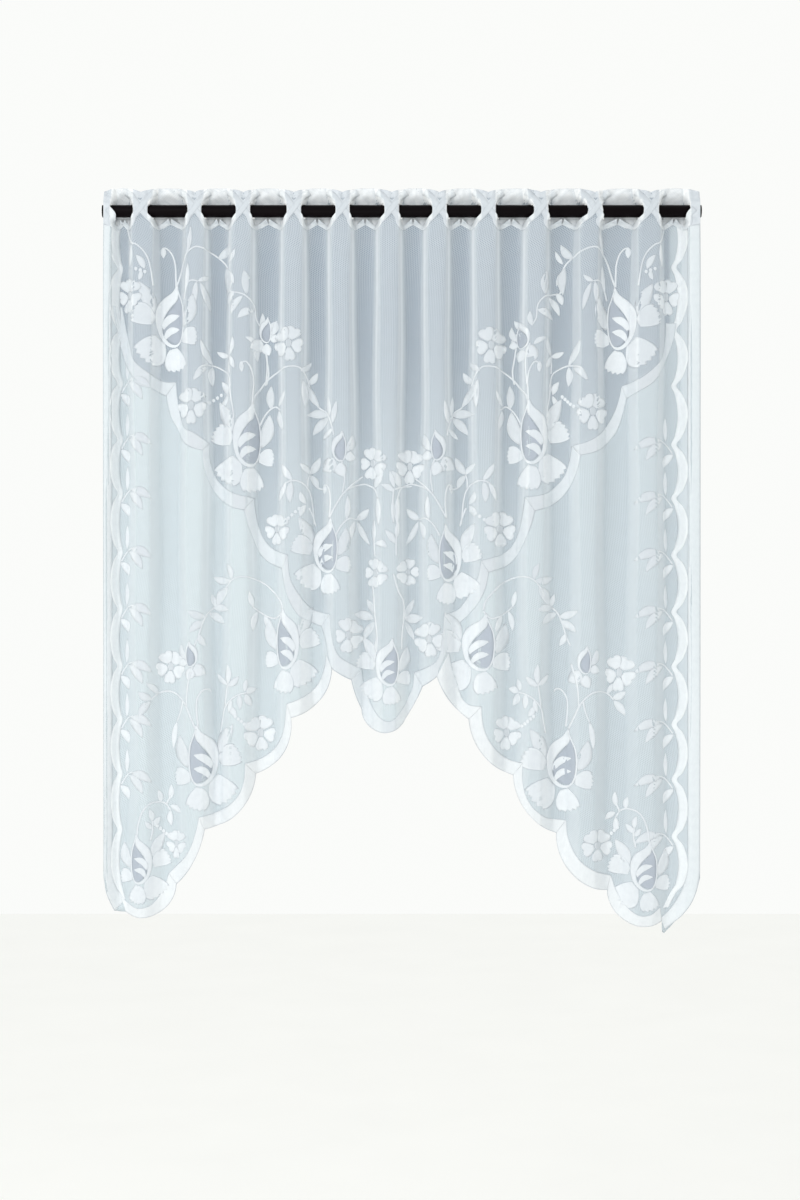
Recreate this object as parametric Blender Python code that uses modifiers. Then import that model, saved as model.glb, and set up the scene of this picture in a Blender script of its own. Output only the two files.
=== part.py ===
"""A one-piece lace cafe curtain, woven through its eyelet heading onto a round rod.

The origin is the centre of the rod's left end face. +X runs along the rod, -Y faces
the room and +Z is up. All sizes are in metres.

The cloth passes in front of the rod at thirteen ribs and behind it at twelve valleys,
through an eyelet wherever it changes sides. The same ribs and valleys hang on below as
folds, which widen and grow softer towards the scalloped, arched hem.
"""

import math

import bmesh
import bpy

# Rod
ROD_LENGTH = 0.968
ROD_RADIUS = 0.010
ROD_SIDES = 32

# Cloth
CLOTH_THICKNESS = 0.0016
SEAT_GAP = 0.0003
LEFT_EDGE = 0.003
RIGHT_EDGE = 0.965
TRIM_MARGIN = 0.010
CUTTER_DEPTH = 0.080

# Eyelets, as high as the cloth leaves them open round the rod
EYELET_BOTTOM = -0.013
EYELET_HALF_DEPTH = ROD_RADIUS + 0.0005

# Small gap in the lace above each place where the cloth crosses the rod
NOTCH_WIDTH = 0.008
NOTCH_HEIGHT = 0.005
NOTCH_TOP = 0.0205

# Frill above the rod
FRILL_DIP = 0.031
FRILL_RISE = 0.0065

# Heights where the folds reach their free width under the heading, and their foot
FREE_TOP = -0.030
HEM_LEVEL = -1.200

# How far the fold lines wander sideways, and over what height they come back
WANDER = 0.0016
WANDER_LENGTH = 0.43

# How far ribs and valleys round out, and the height that it takes them under the rod
CROWN = 0.0026
CROWN_RUN = 0.100

# Shares of the folds' depth that the outer folds lose and that folds differ by at the hem
OUTER_FADE = 0.28
UNEVENNESS = 0.12
UNEVEN_LENGTH = 0.27

# Fold lines, where the cloth turns from a rib in front to a valley behind and back.
# One row for each line, from left to right:
# x at the rod, x just under the heading, x at the hem
FOLD_LINES = (
    (0.016, 0.020, 0.014),
    (0.048, 0.045, 0.050),
    (0.076, 0.087, 0.083),
    (0.136, 0.132, 0.128),
    (0.163, 0.169, 0.173),
    (0.214, 0.206, 0.196),
    (0.242, 0.245, 0.242),
    (0.296, 0.290, 0.287),
    (0.324, 0.328, 0.333),
    (0.375, 0.366, 0.362),
    (0.402, 0.405, 0.411),
    (0.454, 0.444, 0.442),
    (0.482, 0.483, 0.486),
    (0.531, 0.521, 0.518),
    (0.559, 0.560, 0.562),
    (0.610, 0.599, 0.601),
    (0.638, 0.640, 0.643),
    (0.695, 0.682, 0.676),
    (0.723, 0.721, 0.716),
    (0.782, 0.767, 0.759),
    (0.811, 0.805, 0.807),
    (0.872, 0.861, 0.852),
    (0.901, 0.905, 0.901),
    (0.947, 0.943, 0.938),
)

# Shape of the folds at each level, from the frill down:
# z, half depth of the folds, half width of the turn at a fold line
FOLD_LEVELS = (
    (0.042, 0.0105, 0.0065),
    (0.012, 0.0117, 0.0042),
    (0.000, 0.0117, 0.0038),
    (-0.014, 0.0117, 0.0044),
    (-0.060, 0.0130, 0.0060),
    (-0.200, 0.0142, 0.0075),
    (-0.500, 0.0138, 0.0095),
    (-0.800, 0.0120, 0.0120),
    (-1.210, 0.0085, 0.0150),
)

# Heights of the rows of the cloth's grid
ROWS = (
    0.042, 0.024, 0.011, 0.000, -0.014, -0.032, -0.065, -0.130,
    -0.230, -0.345, -0.460, -0.580, -0.700, -0.830, -0.980, -1.210,
)

# Places of the grid's columns across one turn, in half widths of the turn
TURN_STEPS = (-1.0, -0.36, 0.36, 1.0)

# Most of the way to the next fold line that half a turn may take up
TURN_SHARE = 0.40

# Hem from the foot of the left side to the foot of the right side, an arc to each row:
# x and z of the arc's end, how far the arc bulges out of the cloth
HEM_ARCS = (
    (0.0186, -1.1314, 0.0016),
    (0.0364, -1.1338, 0.0008),
    (0.1187, -1.0891, 0.0267),
    (0.1657, -0.9988, 0.0086),
    (0.2474, -0.9099, 0.0218),
    (0.3056, -0.8185, 0.0199),
    (0.3711, -0.7385, 0.0178),
    (0.4028, -0.7574, 0.0019),
    (0.4188, -0.8056, 0.0016),
    (0.4900, -0.8201, 0.0299),
    (0.5174, -0.7687, 0.0019),
    (0.5402, -0.7522, 0.0008),
    (0.5926, -0.8221, 0.0068),
    (0.6646, -0.9126, 0.0176),
    (0.7346, -1.0064, 0.0178),
    (0.8171, -1.0984, 0.0251),
    (0.9047, -1.1476, 0.0289),
    (0.9047, -1.1638, 0.0000),
    (0.9088, -1.1681, 0.0008),
    (0.9650, -1.0774, 0.0073),
)
LEFT_SIDE_FOOT = -1.0748
ARC_STEP = 0.015

# Colours, roughness
LACE_WHITE = (0.80, 0.84, 0.87, 1.0)
LACE_ROUGHNESS = 0.85
ROD_BROWN = (0.008, 0.005, 0.007, 1.0)
ROD_ROUGHNESS = 0.35


def clear_scene():
    for obj in list(bpy.data.objects):
        bpy.data.objects.remove(obj, do_unlink=True)


def make_collection(name):
    collection = bpy.data.collections.new(name)
    bpy.context.scene.collection.children.link(collection)
    return collection


def move_to(obj, collection):
    for old in list(obj.users_collection):
        old.objects.unlink(obj)
    collection.objects.link(obj)


def make_material(name, colour, roughness):
    material = bpy.data.materials.new(name)
    material.use_nodes = True
    shader = material.node_tree.nodes["Principled BSDF"]
    shader.inputs["Base Color"].default_value = colour
    shader.inputs["Roughness"].default_value = roughness
    shader.inputs["Metallic"].default_value = 0.0
    return material


def smoothstep(value):
    value = min(max(value, 0.0), 1.0)
    return value * value * (3.0 - 2.0 * value)


def mix(first, second, share):
    return first + (second - first) * share


def share_down(z):
    """How far down the free folds a height is: 0 at their top, 1 at the hem."""
    return min(max((FREE_TOP - z) / (FREE_TOP - HEM_LEVEL), 0.0), 1.0)


def fold_line_x(index, z):
    """Place of one fold line at a height: pinched at the rod, drifting to the hem."""
    at_rod, under_heading, at_hem = FOLD_LINES[index]
    pinch = 1.0 - smoothstep(abs(z) / abs(FREE_TOP))
    down = share_down(z)
    free = mix(under_heading, at_hem, down)
    sway = math.sin(math.tau * z / WANDER_LENGTH + 1.9 * index)
    return mix(free + WANDER * sway * smoothstep(4.0 * down), at_rod, pinch)


def fold_level(z):
    """Half depth of the folds and half width of their turns at a height."""
    for upper, lower in zip(FOLD_LEVELS, FOLD_LEVELS[1:]):
        if z >= lower[0]:
            share = min(max((upper[0] - z) / (upper[0] - lower[0]), 0.0), 1.0)
            return mix(upper[1], lower[1], share), mix(upper[2], lower[2], share)
    return FOLD_LEVELS[-1][1], FOLD_LEVELS[-1][2]


def fold_turns(z):
    """The fold lines at a height, each as its place and the half width of its turn."""
    lines = [fold_line_x(index, z) for index in range(len(FOLD_LINES))]
    ends = [LEFT_EDGE - TRIM_MARGIN, *lines, RIGHT_EDGE + TRIM_MARGIN]
    turns = []
    for before, line, after in zip(ends, ends[1:], ends[2:]):
        room = TURN_SHARE * min(line - before, after - line)
        turns.append((line, min(fold_level(z)[1], room)))
    return turns


def fold_y(x, z):
    """Depth of the middle of the cloth: below zero on a rib, above it in a valley."""
    turns = fold_turns(z)
    side = -1.0
    for index, (line, turn) in enumerate(turns):
        step = 2.0 * smoothstep(0.5 + 0.5 * (x - line) / turn)
        side += step if index % 2 == 0 else -step
    crown = 0.0
    for (left, _), (right, _) in zip(turns, turns[1:]):
        if left < x < right:
            crown = math.sin(math.pi * (x - left) / (right - left))
    swell = CROWN * smoothstep((EYELET_BOTTOM - z) / CROWN_RUN)
    off_centre = 2.0 * x / ROD_LENGTH - 1.0
    uneven = UNEVENNESS * math.sin(math.tau * (x + 0.3 * z) / UNEVEN_LENGTH)
    share = 1.0 - (OUTER_FADE * off_centre * off_centre + uneven) * share_down(z)
    return side * (fold_level(z)[0] * share + swell * crown)


def column_x(column, z):
    """Place of one column of the grid: four to each turn and one between turns."""
    if column == 0:
        return LEFT_EDGE - TRIM_MARGIN
    turns = fold_turns(z)
    line, step = divmod(column - 1, len(TURN_STEPS) + 1)
    if step < len(TURN_STEPS):
        return turns[line][0] + TURN_STEPS[step] * turns[line][1]
    if line == len(turns) - 1:
        return RIGHT_EDGE + TRIM_MARGIN
    return 0.5 * (turns[line][0] + turns[line + 1][0])


def make_rod(collection):
    bpy.ops.mesh.primitive_cylinder_add(
        vertices=ROD_SIDES, radius=ROD_RADIUS, depth=ROD_LENGTH,
        location=(0.5 * ROD_LENGTH, 0.0, 0.0), rotation=(0.0, 0.5 * math.pi, 0.0))
    rod = bpy.context.object
    rod.name = "rod"
    rod.data.name = "rod"
    rod.data.shade_smooth()
    rod.data.set_sharp_from_angle(angle=math.radians(40.0))
    rod.data.materials.append(make_material("dark_brown_rod", ROD_BROWN, ROD_ROUGHNESS))
    move_to(rod, collection)
    return rod


def make_folded_sheet(collection):
    """The cloth before it is cut out: a grid laid along the fold lines."""
    columns = (len(TURN_STEPS) + 1) * len(FOLD_LINES) + 1
    rows = len(ROWS)
    bpy.ops.mesh.primitive_grid_add(
        x_subdivisions=columns - 1, y_subdivisions=rows - 1, size=2.0)
    curtain = bpy.context.object
    curtain.name = "curtain"
    curtain.data.name = "curtain"
    for vertex in curtain.data.vertices:
        column = round(0.5 * (vertex.co.x + 1.0) * (columns - 1))
        row = round(0.5 * (1.0 - vertex.co.y) * (rows - 1))
        z = ROWS[row]
        x = column_x(column, z)
        vertex.co = (x, fold_y(x, z), z)
    curtain.data.materials.append(make_material("white_lace", LACE_WHITE, LACE_ROUGHNESS))
    move_to(curtain, collection)
    return curtain


def arc_points(start, end, bulge):
    """Points after the start up to the end, on an arc that bulges to the right."""
    run_x, run_z = end[0] - start[0], end[1] - start[1]
    chord = math.hypot(run_x, run_z)
    if abs(bulge) < 0.0002:
        return [end]
    half_angle = 2.0 * math.atan2(2.0 * bulge, chord)
    radius = chord / (2.0 * math.sin(half_angle))
    out_x, out_z = run_z / chord, -run_x / chord
    centre_x = 0.5 * (start[0] + end[0]) - out_x * radius * math.cos(half_angle)
    centre_z = 0.5 * (start[1] + end[1]) - out_z * radius * math.cos(half_angle)
    steps = max(2, round(2.0 * half_angle * radius / ARC_STEP))
    first = math.atan2(start[1] - centre_z, start[0] - centre_x)
    return [
        (centre_x + radius * math.cos(first + 2.0 * half_angle * step / steps),
         centre_z + radius * math.sin(first + 2.0 * half_angle * step / steps))
        for step in range(1, steps + 1)
    ]


def rib_centre(rib):
    """Middle of a rib where it crosses the rod, one rib to each pair of fold lines."""
    return 0.5 * (FOLD_LINES[2 * rib - 1][0] + FOLD_LINES[2 * rib][0])


def curtain_outline():
    """The cut edge as seen from the front, round once with the cloth on the left."""
    points = [(LEFT_EDGE, FRILL_DIP), (LEFT_EDGE, LEFT_SIDE_FOOT)]
    for x, z, bulge in HEM_ARCS:
        points += arc_points(points[-1], (x, z), bulge)
    points.append((RIGHT_EDGE, FRILL_DIP))
    dips = [rib_centre(rib) for rib in range(len(FOLD_LINES) // 2 - 1, 0, -1)]
    for x in [*dips, LEFT_EDGE]:
        points += arc_points(points[-1], (x, FRILL_DIP), FRILL_RISE)
    return points[:-1]


def extruded_outline(name, loops, depth, y, collection):
    """Flat closed outlines in the XZ plane, filled and made a solid about a depth."""
    curve = bpy.data.curves.new(name, "CURVE")
    curve.dimensions = "2D"
    curve.fill_mode = "BOTH"
    curve.extrude = 0.5 * depth
    for loop in loops:
        spline = curve.splines.new("POLY")
        spline.points.add(len(loop) - 1)
        for point, (x, z) in zip(spline.points, loop):
            point.co = (x, z, 0.0, 1.0)
        spline.use_cyclic_u = True
    outline = bpy.data.objects.new(name + "_outline", curve)
    outline.location = (0.0, y, 0.0)
    outline.rotation_euler = (0.5 * math.pi, 0.0, 0.0)
    collection.objects.link(outline)
    bpy.context.view_layer.update()

    graph = bpy.context.evaluated_depsgraph_get()
    mesh = bpy.data.meshes.new_from_object(outline.evaluated_get(graph))
    shape = bmesh.new()
    shape.from_mesh(mesh)
    bmesh.ops.remove_doubles(shape, verts=shape.verts, dist=0.00001)
    bmesh.ops.recalc_face_normals(shape, faces=shape.faces)
    shape.to_mesh(mesh)
    shape.free()
    cutter = bpy.data.objects.new(name, mesh)
    cutter.matrix_world = outline.matrix_world
    collection.objects.link(cutter)
    bpy.data.objects.remove(outline, do_unlink=True)
    cutter.hide_render = True
    cutter.display_type = "WIRE"
    return cutter


def eyelet_cutter(collection):
    """A bar round the rod that opens every eyelet where the cloth passes the rod."""
    top = ROD_RADIUS + SEAT_GAP
    bpy.ops.mesh.primitive_cube_add(
        size=1.0, location=(0.5 * ROD_LENGTH, 0.0, 0.5 * (top + EYELET_BOTTOM)))
    cutter = bpy.context.object
    cutter.name = "eyelet_cutter"
    cutter.scale = (ROD_LENGTH, 2.0 * EYELET_HALF_DEPTH, top - EYELET_BOTTOM)
    cutter.hide_render = True
    cutter.display_type = "WIRE"
    move_to(cutter, collection)
    return cutter


def notch_loops():
    """One small triangle, point down, above the rod on each rib between the ends."""
    loops = []
    for rib in range(1, len(FOLD_LINES) // 2):
        x = rib_centre(rib)
        loops.append([
            (x - 0.5 * NOTCH_WIDTH, NOTCH_TOP),
            (x, NOTCH_TOP - NOTCH_HEIGHT),
            (x + 0.5 * NOTCH_WIDTH, NOTCH_TOP),
        ])
    return loops


def cut_with(obj, cutter, operation):
    modifier = obj.modifiers.new(cutter.name, "BOOLEAN")
    modifier.operation = operation
    modifier.solver = "EXACT"
    modifier.object = cutter


def main():
    clear_scene()
    parts = make_collection("lace_cafe_curtain")
    cutters = make_collection("cutters")
    make_rod(parts)
    curtain = make_folded_sheet(parts)

    solidify = curtain.modifiers.new("cloth_thickness", "SOLIDIFY")
    solidify.thickness = CLOTH_THICKNESS
    solidify.offset = 0.0
    outline = extruded_outline(
        "outline_cutter", [curtain_outline()], CUTTER_DEPTH, 0.0, cutters)
    cut_with(curtain, outline, "INTERSECT")
    cut_with(curtain, eyelet_cutter(cutters), "DIFFERENCE")
    front = -0.25 * CUTTER_DEPTH
    notches = extruded_outline(
        "notch_cutter", notch_loops(), 0.5 * CUTTER_DEPTH, front, cutters)
    cut_with(curtain, notches, "DIFFERENCE")


main()
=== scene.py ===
# %% [markdown]
# # A lace cafe curtain on its rod
# The real thing is one length of white raschel-knit lace. A net ground carries flowers, leaves
# and scalloped bands that are knitted into it, and a row of eyelets near the top lets a thin
# rod pass in front of the cloth and behind it by turns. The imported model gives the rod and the
# hanging shape of the cloth, so this script starts from it and only adds the finish.

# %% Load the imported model
import math

import bpy
import numpy as np
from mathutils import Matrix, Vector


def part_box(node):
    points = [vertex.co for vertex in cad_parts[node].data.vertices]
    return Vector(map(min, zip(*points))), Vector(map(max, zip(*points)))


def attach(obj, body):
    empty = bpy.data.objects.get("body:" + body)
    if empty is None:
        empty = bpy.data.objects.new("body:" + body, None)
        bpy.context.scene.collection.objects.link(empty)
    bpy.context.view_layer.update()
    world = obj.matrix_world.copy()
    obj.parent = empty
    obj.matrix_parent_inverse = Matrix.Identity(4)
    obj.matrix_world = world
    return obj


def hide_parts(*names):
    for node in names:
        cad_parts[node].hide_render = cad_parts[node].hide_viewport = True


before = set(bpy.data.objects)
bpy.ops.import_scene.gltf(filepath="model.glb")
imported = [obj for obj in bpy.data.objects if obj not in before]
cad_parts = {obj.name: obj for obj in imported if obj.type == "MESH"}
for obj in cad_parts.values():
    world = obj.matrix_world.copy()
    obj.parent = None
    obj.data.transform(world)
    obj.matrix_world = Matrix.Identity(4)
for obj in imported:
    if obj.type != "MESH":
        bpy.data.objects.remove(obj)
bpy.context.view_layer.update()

# %% [markdown]
# ## Set the camera and the light
# The curtain is seen straight on, from the middle of its height, with no tilt and no shift. The
# layout below is given in steps of 1.617 mm, counted from the top left corner of the picture,
# so a place that is read off the picture goes straight onto the cloth. The room is plain:
# white all round, with a pale floor well below the hem. A soft lamp high on the left lets the
# folds show, and a wider one low in front fills the shade between them. The plain view
# transform keeps white lace white.

# %% Camera, world, lamps and floor
STEP = 0.001617
ROD_START = (102.5, 211.3)
PICTURE = (800, 1200)
LENS = 65.0
SENSOR = 36.0
VIEW_END = 60.0
SEE_THROUGH_LAYERS = 48
ROOM_BRIGHTNESS = 0.97
FLOOR_SIZE = 14.0
FLOOR_PLACE = (0.48, 0.0, -2.15)
# name, place in metres, turn in degrees, size in metres, power in watts
LAMPS = [
    ("soft_key", (-1.6, -2.6, 1.1), (62, 0, -38), 1.6, 26),
    ("wide_fill", (-0.1, -3.6, -1.1), (99, 0, -9), 2.6, 32),
]


def place(across, down):
    """The place on the cloth, x and z in metres, of a step across and down the layout."""
    return (np.asarray(across) - ROD_START[0]) * STEP, (ROD_START[1] - np.asarray(down)) * STEP


def colour(hex_code):
    """An sRGB hex colour as the linear colour that a shader reads."""
    parts = [int(hex_code[i:i + 2], 16) / 255 for i in (1, 3, 5)]
    linear = [p / 12.92 if p <= 0.04045 else ((p + 0.055) / 1.055) ** 2.4 for p in parts]
    return (*linear, 1.0)


def add_node(tree, kind, inputs=None, **settings):
    """Adds a node with its settings, and fills or links its inputs."""
    node = tree.nodes.new(kind)
    for name, value in settings.items():
        setattr(node, name, value)
    for socket, value in (inputs or {}).items():
        if isinstance(value, bpy.types.NodeSocket):
            tree.links.new(value, node.inputs[socket])
        else:
            node.inputs[socket].default_value = value
    return node


scene = bpy.context.scene
scene.view_settings.view_transform = "Standard"
scene.cycles.transparent_max_bounces = SEE_THROUGH_LAYERS
bpy.ops.object.select_all(action="DESELECT")

middle_x, middle_z = place(PICTURE[0] / 2, PICTURE[1] / 2)
distance = PICTURE[1] * STEP * LENS / SENSOR
bpy.ops.object.camera_add(location=(middle_x, -distance, middle_z), rotation=(math.pi / 2, 0, 0))
camera = bpy.context.object
camera.name = "camera"
camera.data.lens = LENS
camera.data.sensor_width = SENSOR
camera.data.clip_end = VIEW_END
scene.camera = camera

world = bpy.data.worlds.new("white_room")
scene.world = world
world.use_nodes = True
background = world.node_tree.nodes["Background"]
background.inputs["Color"].default_value = colour("#fefffd")
background.inputs["Strength"].default_value = ROOM_BRIGHTNESS

for name, spot, turn, size, watts in LAMPS:
    bpy.ops.object.light_add(type="AREA", location=spot)
    lamp = bpy.context.object
    lamp.name = name
    lamp.data.size = size
    lamp.data.energy = watts
    lamp.rotation_euler = [math.radians(angle) for angle in turn]

bpy.ops.mesh.primitive_plane_add(size=FLOOR_SIZE, location=FLOOR_PLACE)
floor = bpy.context.object
floor.name = "floor"
print("camera is", round(distance, 3), "m from the cloth,", len(LAMPS), "lamps")

# %% [markdown]
# ## Repeat the folds of the cloth
# The cloth runs in front of the rod at each rib and behind it at each valley, and turns from
# one to the other at the fold lines. Each fold line is given by its place at the rod, just under
# the heading and at the hem. Depth and softness change with height. These are the values of
# the solid, written again for whole arrays of points, so all that is laid on the cloth below
# follows the very same sheet.

# %% Fold tables and the sheet's depth
ROD_LENGTH = 0.968
ROD_RADIUS = 0.010
SEAT_GAP = 0.0003
LEFT_EDGE = 0.003
RIGHT_EDGE = 0.965
TRIM_MARGIN = 0.010
EYELET_BOTTOM = -0.013
EYELET_HALF_DEPTH = ROD_RADIUS + 0.0005
NOTCH_WIDTH = 0.008
NOTCH_HEIGHT = 0.005
NOTCH_TOP = 0.0205
FRILL_DIP = 0.031
FRILL_RISE = 0.0065
FREE_TOP = -0.030
HEM_LEVEL = -1.200
WANDER = 0.0016
WANDER_LENGTH = 0.43
CROWN = 0.0026
CROWN_RUN = 0.100
OUTER_FADE = 0.28
UNEVENNESS = 0.12
UNEVEN_LENGTH = 0.27
TURN_SHARE = 0.40
FOLD_STAGGER = 1.9
# x of each fold line in metres: at the rod, just under the heading, at the hem.
FOLD_LINES = np.array([
    (0.016, 0.020, 0.014), (0.048, 0.045, 0.050), (0.076, 0.087, 0.083), (0.136, 0.132, 0.128),
    (0.163, 0.169, 0.173), (0.214, 0.206, 0.196), (0.242, 0.245, 0.242), (0.296, 0.290, 0.287),
    (0.324, 0.328, 0.333), (0.375, 0.366, 0.362), (0.402, 0.405, 0.411), (0.454, 0.444, 0.442),
    (0.482, 0.483, 0.486), (0.531, 0.521, 0.518), (0.559, 0.560, 0.562), (0.610, 0.599, 0.601),
    (0.638, 0.640, 0.643), (0.695, 0.682, 0.676), (0.723, 0.721, 0.716), (0.782, 0.767, 0.759),
    (0.811, 0.805, 0.807), (0.872, 0.861, 0.852), (0.901, 0.905, 0.901), (0.947, 0.943, 0.938),
])
# z, half the depth of the folds, half the width of a turn, in metres.
FOLD_LEVELS = np.array([
    (0.042, 0.0105, 0.0065), (0.012, 0.0117, 0.0042), (0.000, 0.0117, 0.0038),
    (-0.014, 0.0117, 0.0044), (-0.060, 0.0130, 0.0060), (-0.200, 0.0142, 0.0075),
    (-0.500, 0.0138, 0.0095), (-0.800, 0.0120, 0.0120), (-1.210, 0.0085, 0.0150),
])


def smoothstep(value):
    value = np.clip(value, 0.0, 1.0)
    return value * value * (3.0 - 2.0 * value)


def mix(start, end, share):
    return start + (end - start) * share


def share_down(z):
    return np.clip((FREE_TOP - z) / (FREE_TOP - HEM_LEVEL), 0.0, 1.0)


def fold_lines(z):
    """x of all the fold lines at each height, one row to a line."""
    z = np.atleast_1d(z)
    down = share_down(z)
    pinch = 1.0 - smoothstep(np.abs(z) / abs(FREE_TOP))
    index = np.arange(len(FOLD_LINES))[:, None]
    free = mix(FOLD_LINES[:, 1:2], FOLD_LINES[:, 2:3], down)
    sway = np.sin(math.tau * z / WANDER_LENGTH + FOLD_STAGGER * index)
    hanging = free + WANDER * sway * smoothstep(4.0 * down)
    return mix(hanging, FOLD_LINES[:, 0:1], pinch)


def fold_level(z):
    order = FOLD_LEVELS[::-1]
    return np.interp(z, order[:, 0], order[:, 1]), np.interp(z, order[:, 0], order[:, 2])


def fold_ends(z):
    """The fold lines with the trimmed sides before and after them."""
    lines = fold_lines(z)
    left = np.full((1, lines.shape[1]), LEFT_EDGE - TRIM_MARGIN)
    right = np.full((1, lines.shape[1]), RIGHT_EDGE + TRIM_MARGIN)
    return np.vstack([left, lines, right])


def fold_turns(z):
    ends = fold_ends(z)
    gaps = np.diff(ends, axis=0)
    room = TURN_SHARE * np.minimum(gaps[:-1], gaps[1:])
    return np.minimum(fold_level(np.atleast_1d(z))[1], room)


def fold_y(x, z):
    """How far the sheet stands behind the rod's axis at each x and z. In front it is negative."""
    x = np.atleast_1d(x)
    z = np.atleast_1d(z)
    ends = fold_ends(z)
    lines = ends[1:-1]
    signs = np.where(np.arange(len(lines)) % 2 == 0, 1.0, -1.0)[:, None]
    side = -1.0 + np.sum(2.0 * signs * smoothstep(0.5 + 0.5 * (x - lines) / fold_turns(z)), axis=0)
    before = np.clip(np.sum(ends <= x, axis=0) - 1, 0, len(ends) - 2)
    column = np.arange(len(x))
    left = ends[before, column]
    right = ends[before + 1, column]
    crown = np.sin(math.pi * np.clip((x - left) / (right - left), 0.0, 1.0))
    swell = CROWN * smoothstep((EYELET_BOTTOM - z) / CROWN_RUN)
    off_centre = 2.0 * x / ROD_LENGTH - 1.0
    uneven = UNEVENNESS * np.sin(math.tau * (x + 0.3 * z) / UNEVEN_LENGTH)
    share = 1.0 - (OUTER_FADE * off_centre**2 + uneven) * share_down(z)
    return side * (fold_level(z)[0] * share + swell * crown)


print(len(FOLD_LINES), "fold lines, up to", FOLD_LEVELS[:, 1].max(), "m deep each way")

# %% [markdown]
# Above the rod the cloth stands up as a frill. It is pressed nearly flat there, and small
# pleats fan out from each rib, where the heading is pinched in front of the rod. The net and
# the heading share this shape, so neither shows through the other.

# %% The frill above the rod
FRILL_START = 0.012
FRILL_RUN = 0.020
FRILL_FLATTENING = 0.8
FAN_PLEATS = 17.0
FAN_DEPTH = 0.0013
FAN_FOOT = 0.004
RIPPLE_DEPTH = 0.0006
RIPPLE_LENGTH = 0.0157
RIPPLE_SLANT = 0.4
MIDDLE_RIBS = range(1, len(FOLD_LINES) // 2)


def rib_centre(rib):
    return 0.5 * (FOLD_LINES[2 * rib - 1][0] + FOLD_LINES[2 * rib][0])


RIB_MIDDLES = np.array([0.5 * (LEFT_EDGE + FOLD_LINES[0, 0]), *map(rib_centre, MIDDLE_RIBS),
                        0.5 * (RIGHT_EDGE + FOLD_LINES[-1, 0])])


def sheet_y(x, z):
    """The folds, with the frill: it flattens above the rod and fans out from each rib."""
    rise = smoothstep((z - FRILL_START) / FRILL_RUN)
    offset = np.min(np.abs(x - RIB_MIDDLES[:, None]), axis=0)
    fan = np.cos(FAN_PLEATS * np.arctan2(offset, np.maximum(z + FAN_FOOT, FAN_FOOT)))
    ripple = np.sin(math.tau * (x + RIPPLE_SLANT * z) / RIPPLE_LENGTH)
    crumple = FAN_DEPTH * fan + RIPPLE_DEPTH * ripple
    return (1.0 - FRILL_FLATTENING * rise) * fold_y(x, z) + rise * crumple


print("ribs:", len(RIB_MIDDLES), "the outer ones at", RIB_MIDDLES[[0, -1]].round(3))

# %% [markdown]
# A knit pattern has to follow the cloth and not the picture, so each piece of lace gets a UV map
# that holds the cloth's own width, measured along its folds, and its height, both in metres.
# The width comes from a table of the folds' length that is worked out once.

# %% Measure the cloth along its folds
MID_HEIGHT = -0.45
TABLE_COLUMNS = 2001
TABLE_ROWS = 92
TABLE_FOOT = -1.215
TABLE_TOP = 0.050
table_x = np.linspace(LEFT_EDGE - 2 * TRIM_MARGIN, RIGHT_EDGE + 2 * TRIM_MARGIN, TABLE_COLUMNS)
table_z = np.linspace(TABLE_FOOT, TABLE_TOP, TABLE_ROWS)
length_table = np.empty((len(table_z), len(table_x)))
slope_table = np.empty_like(length_table)
for row, level in enumerate(table_z):
    depth = fold_y(table_x, np.full_like(table_x, level))
    slope = np.gradient(depth, table_x)
    pieces = np.sqrt(1.0 + slope[1:] ** 2) * np.diff(table_x)
    run = np.concatenate([[0.0], np.cumsum(pieces)])
    length_table[row] = run - np.interp(0.5 * ROD_LENGTH, table_x, run)
    slope_table[row] = np.abs(slope)


def look_up(table, x, z):
    """Reads a table of the cloth between its rows and columns."""
    column = np.clip((x - table_x[0]) / (table_x[1] - table_x[0]), 0, len(table_x) - 1.001)
    row = np.clip((z - table_z[0]) / (table_z[1] - table_z[0]), 0, len(table_z) - 1.001)
    c = column.astype(int)
    r = row.astype(int)
    upper = mix(table[r + 1, c], table[r + 1, c + 1], column - c)
    lower = mix(table[r, c], table[r, c + 1], column - c)
    return mix(lower, upper, row - r)


def flat_width(z):
    edges = look_up(length_table, np.array([LEFT_EDGE, RIGHT_EDGE]), np.array([z, z]))
    return float(edges[1] - edges[0])


print("flat width at the rod, at mid height, near the hem:",
      [round(flat_width(z), 3) for z in (0.0, MID_HEIGHT, -1.0)])

# %% [markdown]
# ## Helpers for cloth
# Every piece of cloth starts as a grid, flat in the plane of the curtain. Its points are moved
# onto the folds, and modifiers then give it its thickness and trim it.

# %% Grid, drape and thickness
def new_grid(name, columns, rows):
    bpy.ops.object.select_all(action="DESELECT")
    bpy.ops.mesh.primitive_grid_add(x_subdivisions=columns, y_subdivisions=rows, size=1.0)
    grid = bpy.context.object
    grid.name = name
    grid.data.name = name
    return grid


def points_of(piece):
    points = np.empty(len(piece.data.vertices) * 3)
    piece.data.vertices.foreach_get("co", points)
    return points.reshape(-1, 3)


def move_points(piece, points):
    piece.data.vertices.foreach_set("co", np.asarray(points, dtype=float).ravel())
    piece.data.update()


def set_tone(piece, name, values):
    tone = piece.data.attributes.get(name)
    if tone is None:
        tone = piece.data.attributes.new(name, "FLOAT", "POINT")
    tone.data.foreach_set("value", np.asarray(values, dtype=float))


def apply_modifier(piece, kind, **settings):
    bpy.ops.object.select_all(action="DESELECT")
    piece.select_set(True)
    bpy.context.view_layer.objects.active = piece
    modifier = piece.modifiers.new("step", kind)
    for name, value in settings.items():
        setattr(modifier, name, value)
    bpy.ops.object.modifier_apply(modifier=modifier.name)


print("cloth helpers are ready")

# %% [markdown]
# The UV map and the tones are written last, from the places of the finished points, so they
# hold whatever cut the mesh before. The tones tell the finishes where the cloth is steep, where
# a valley is and where a fold line runs. They are strongest between the side hems.

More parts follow.
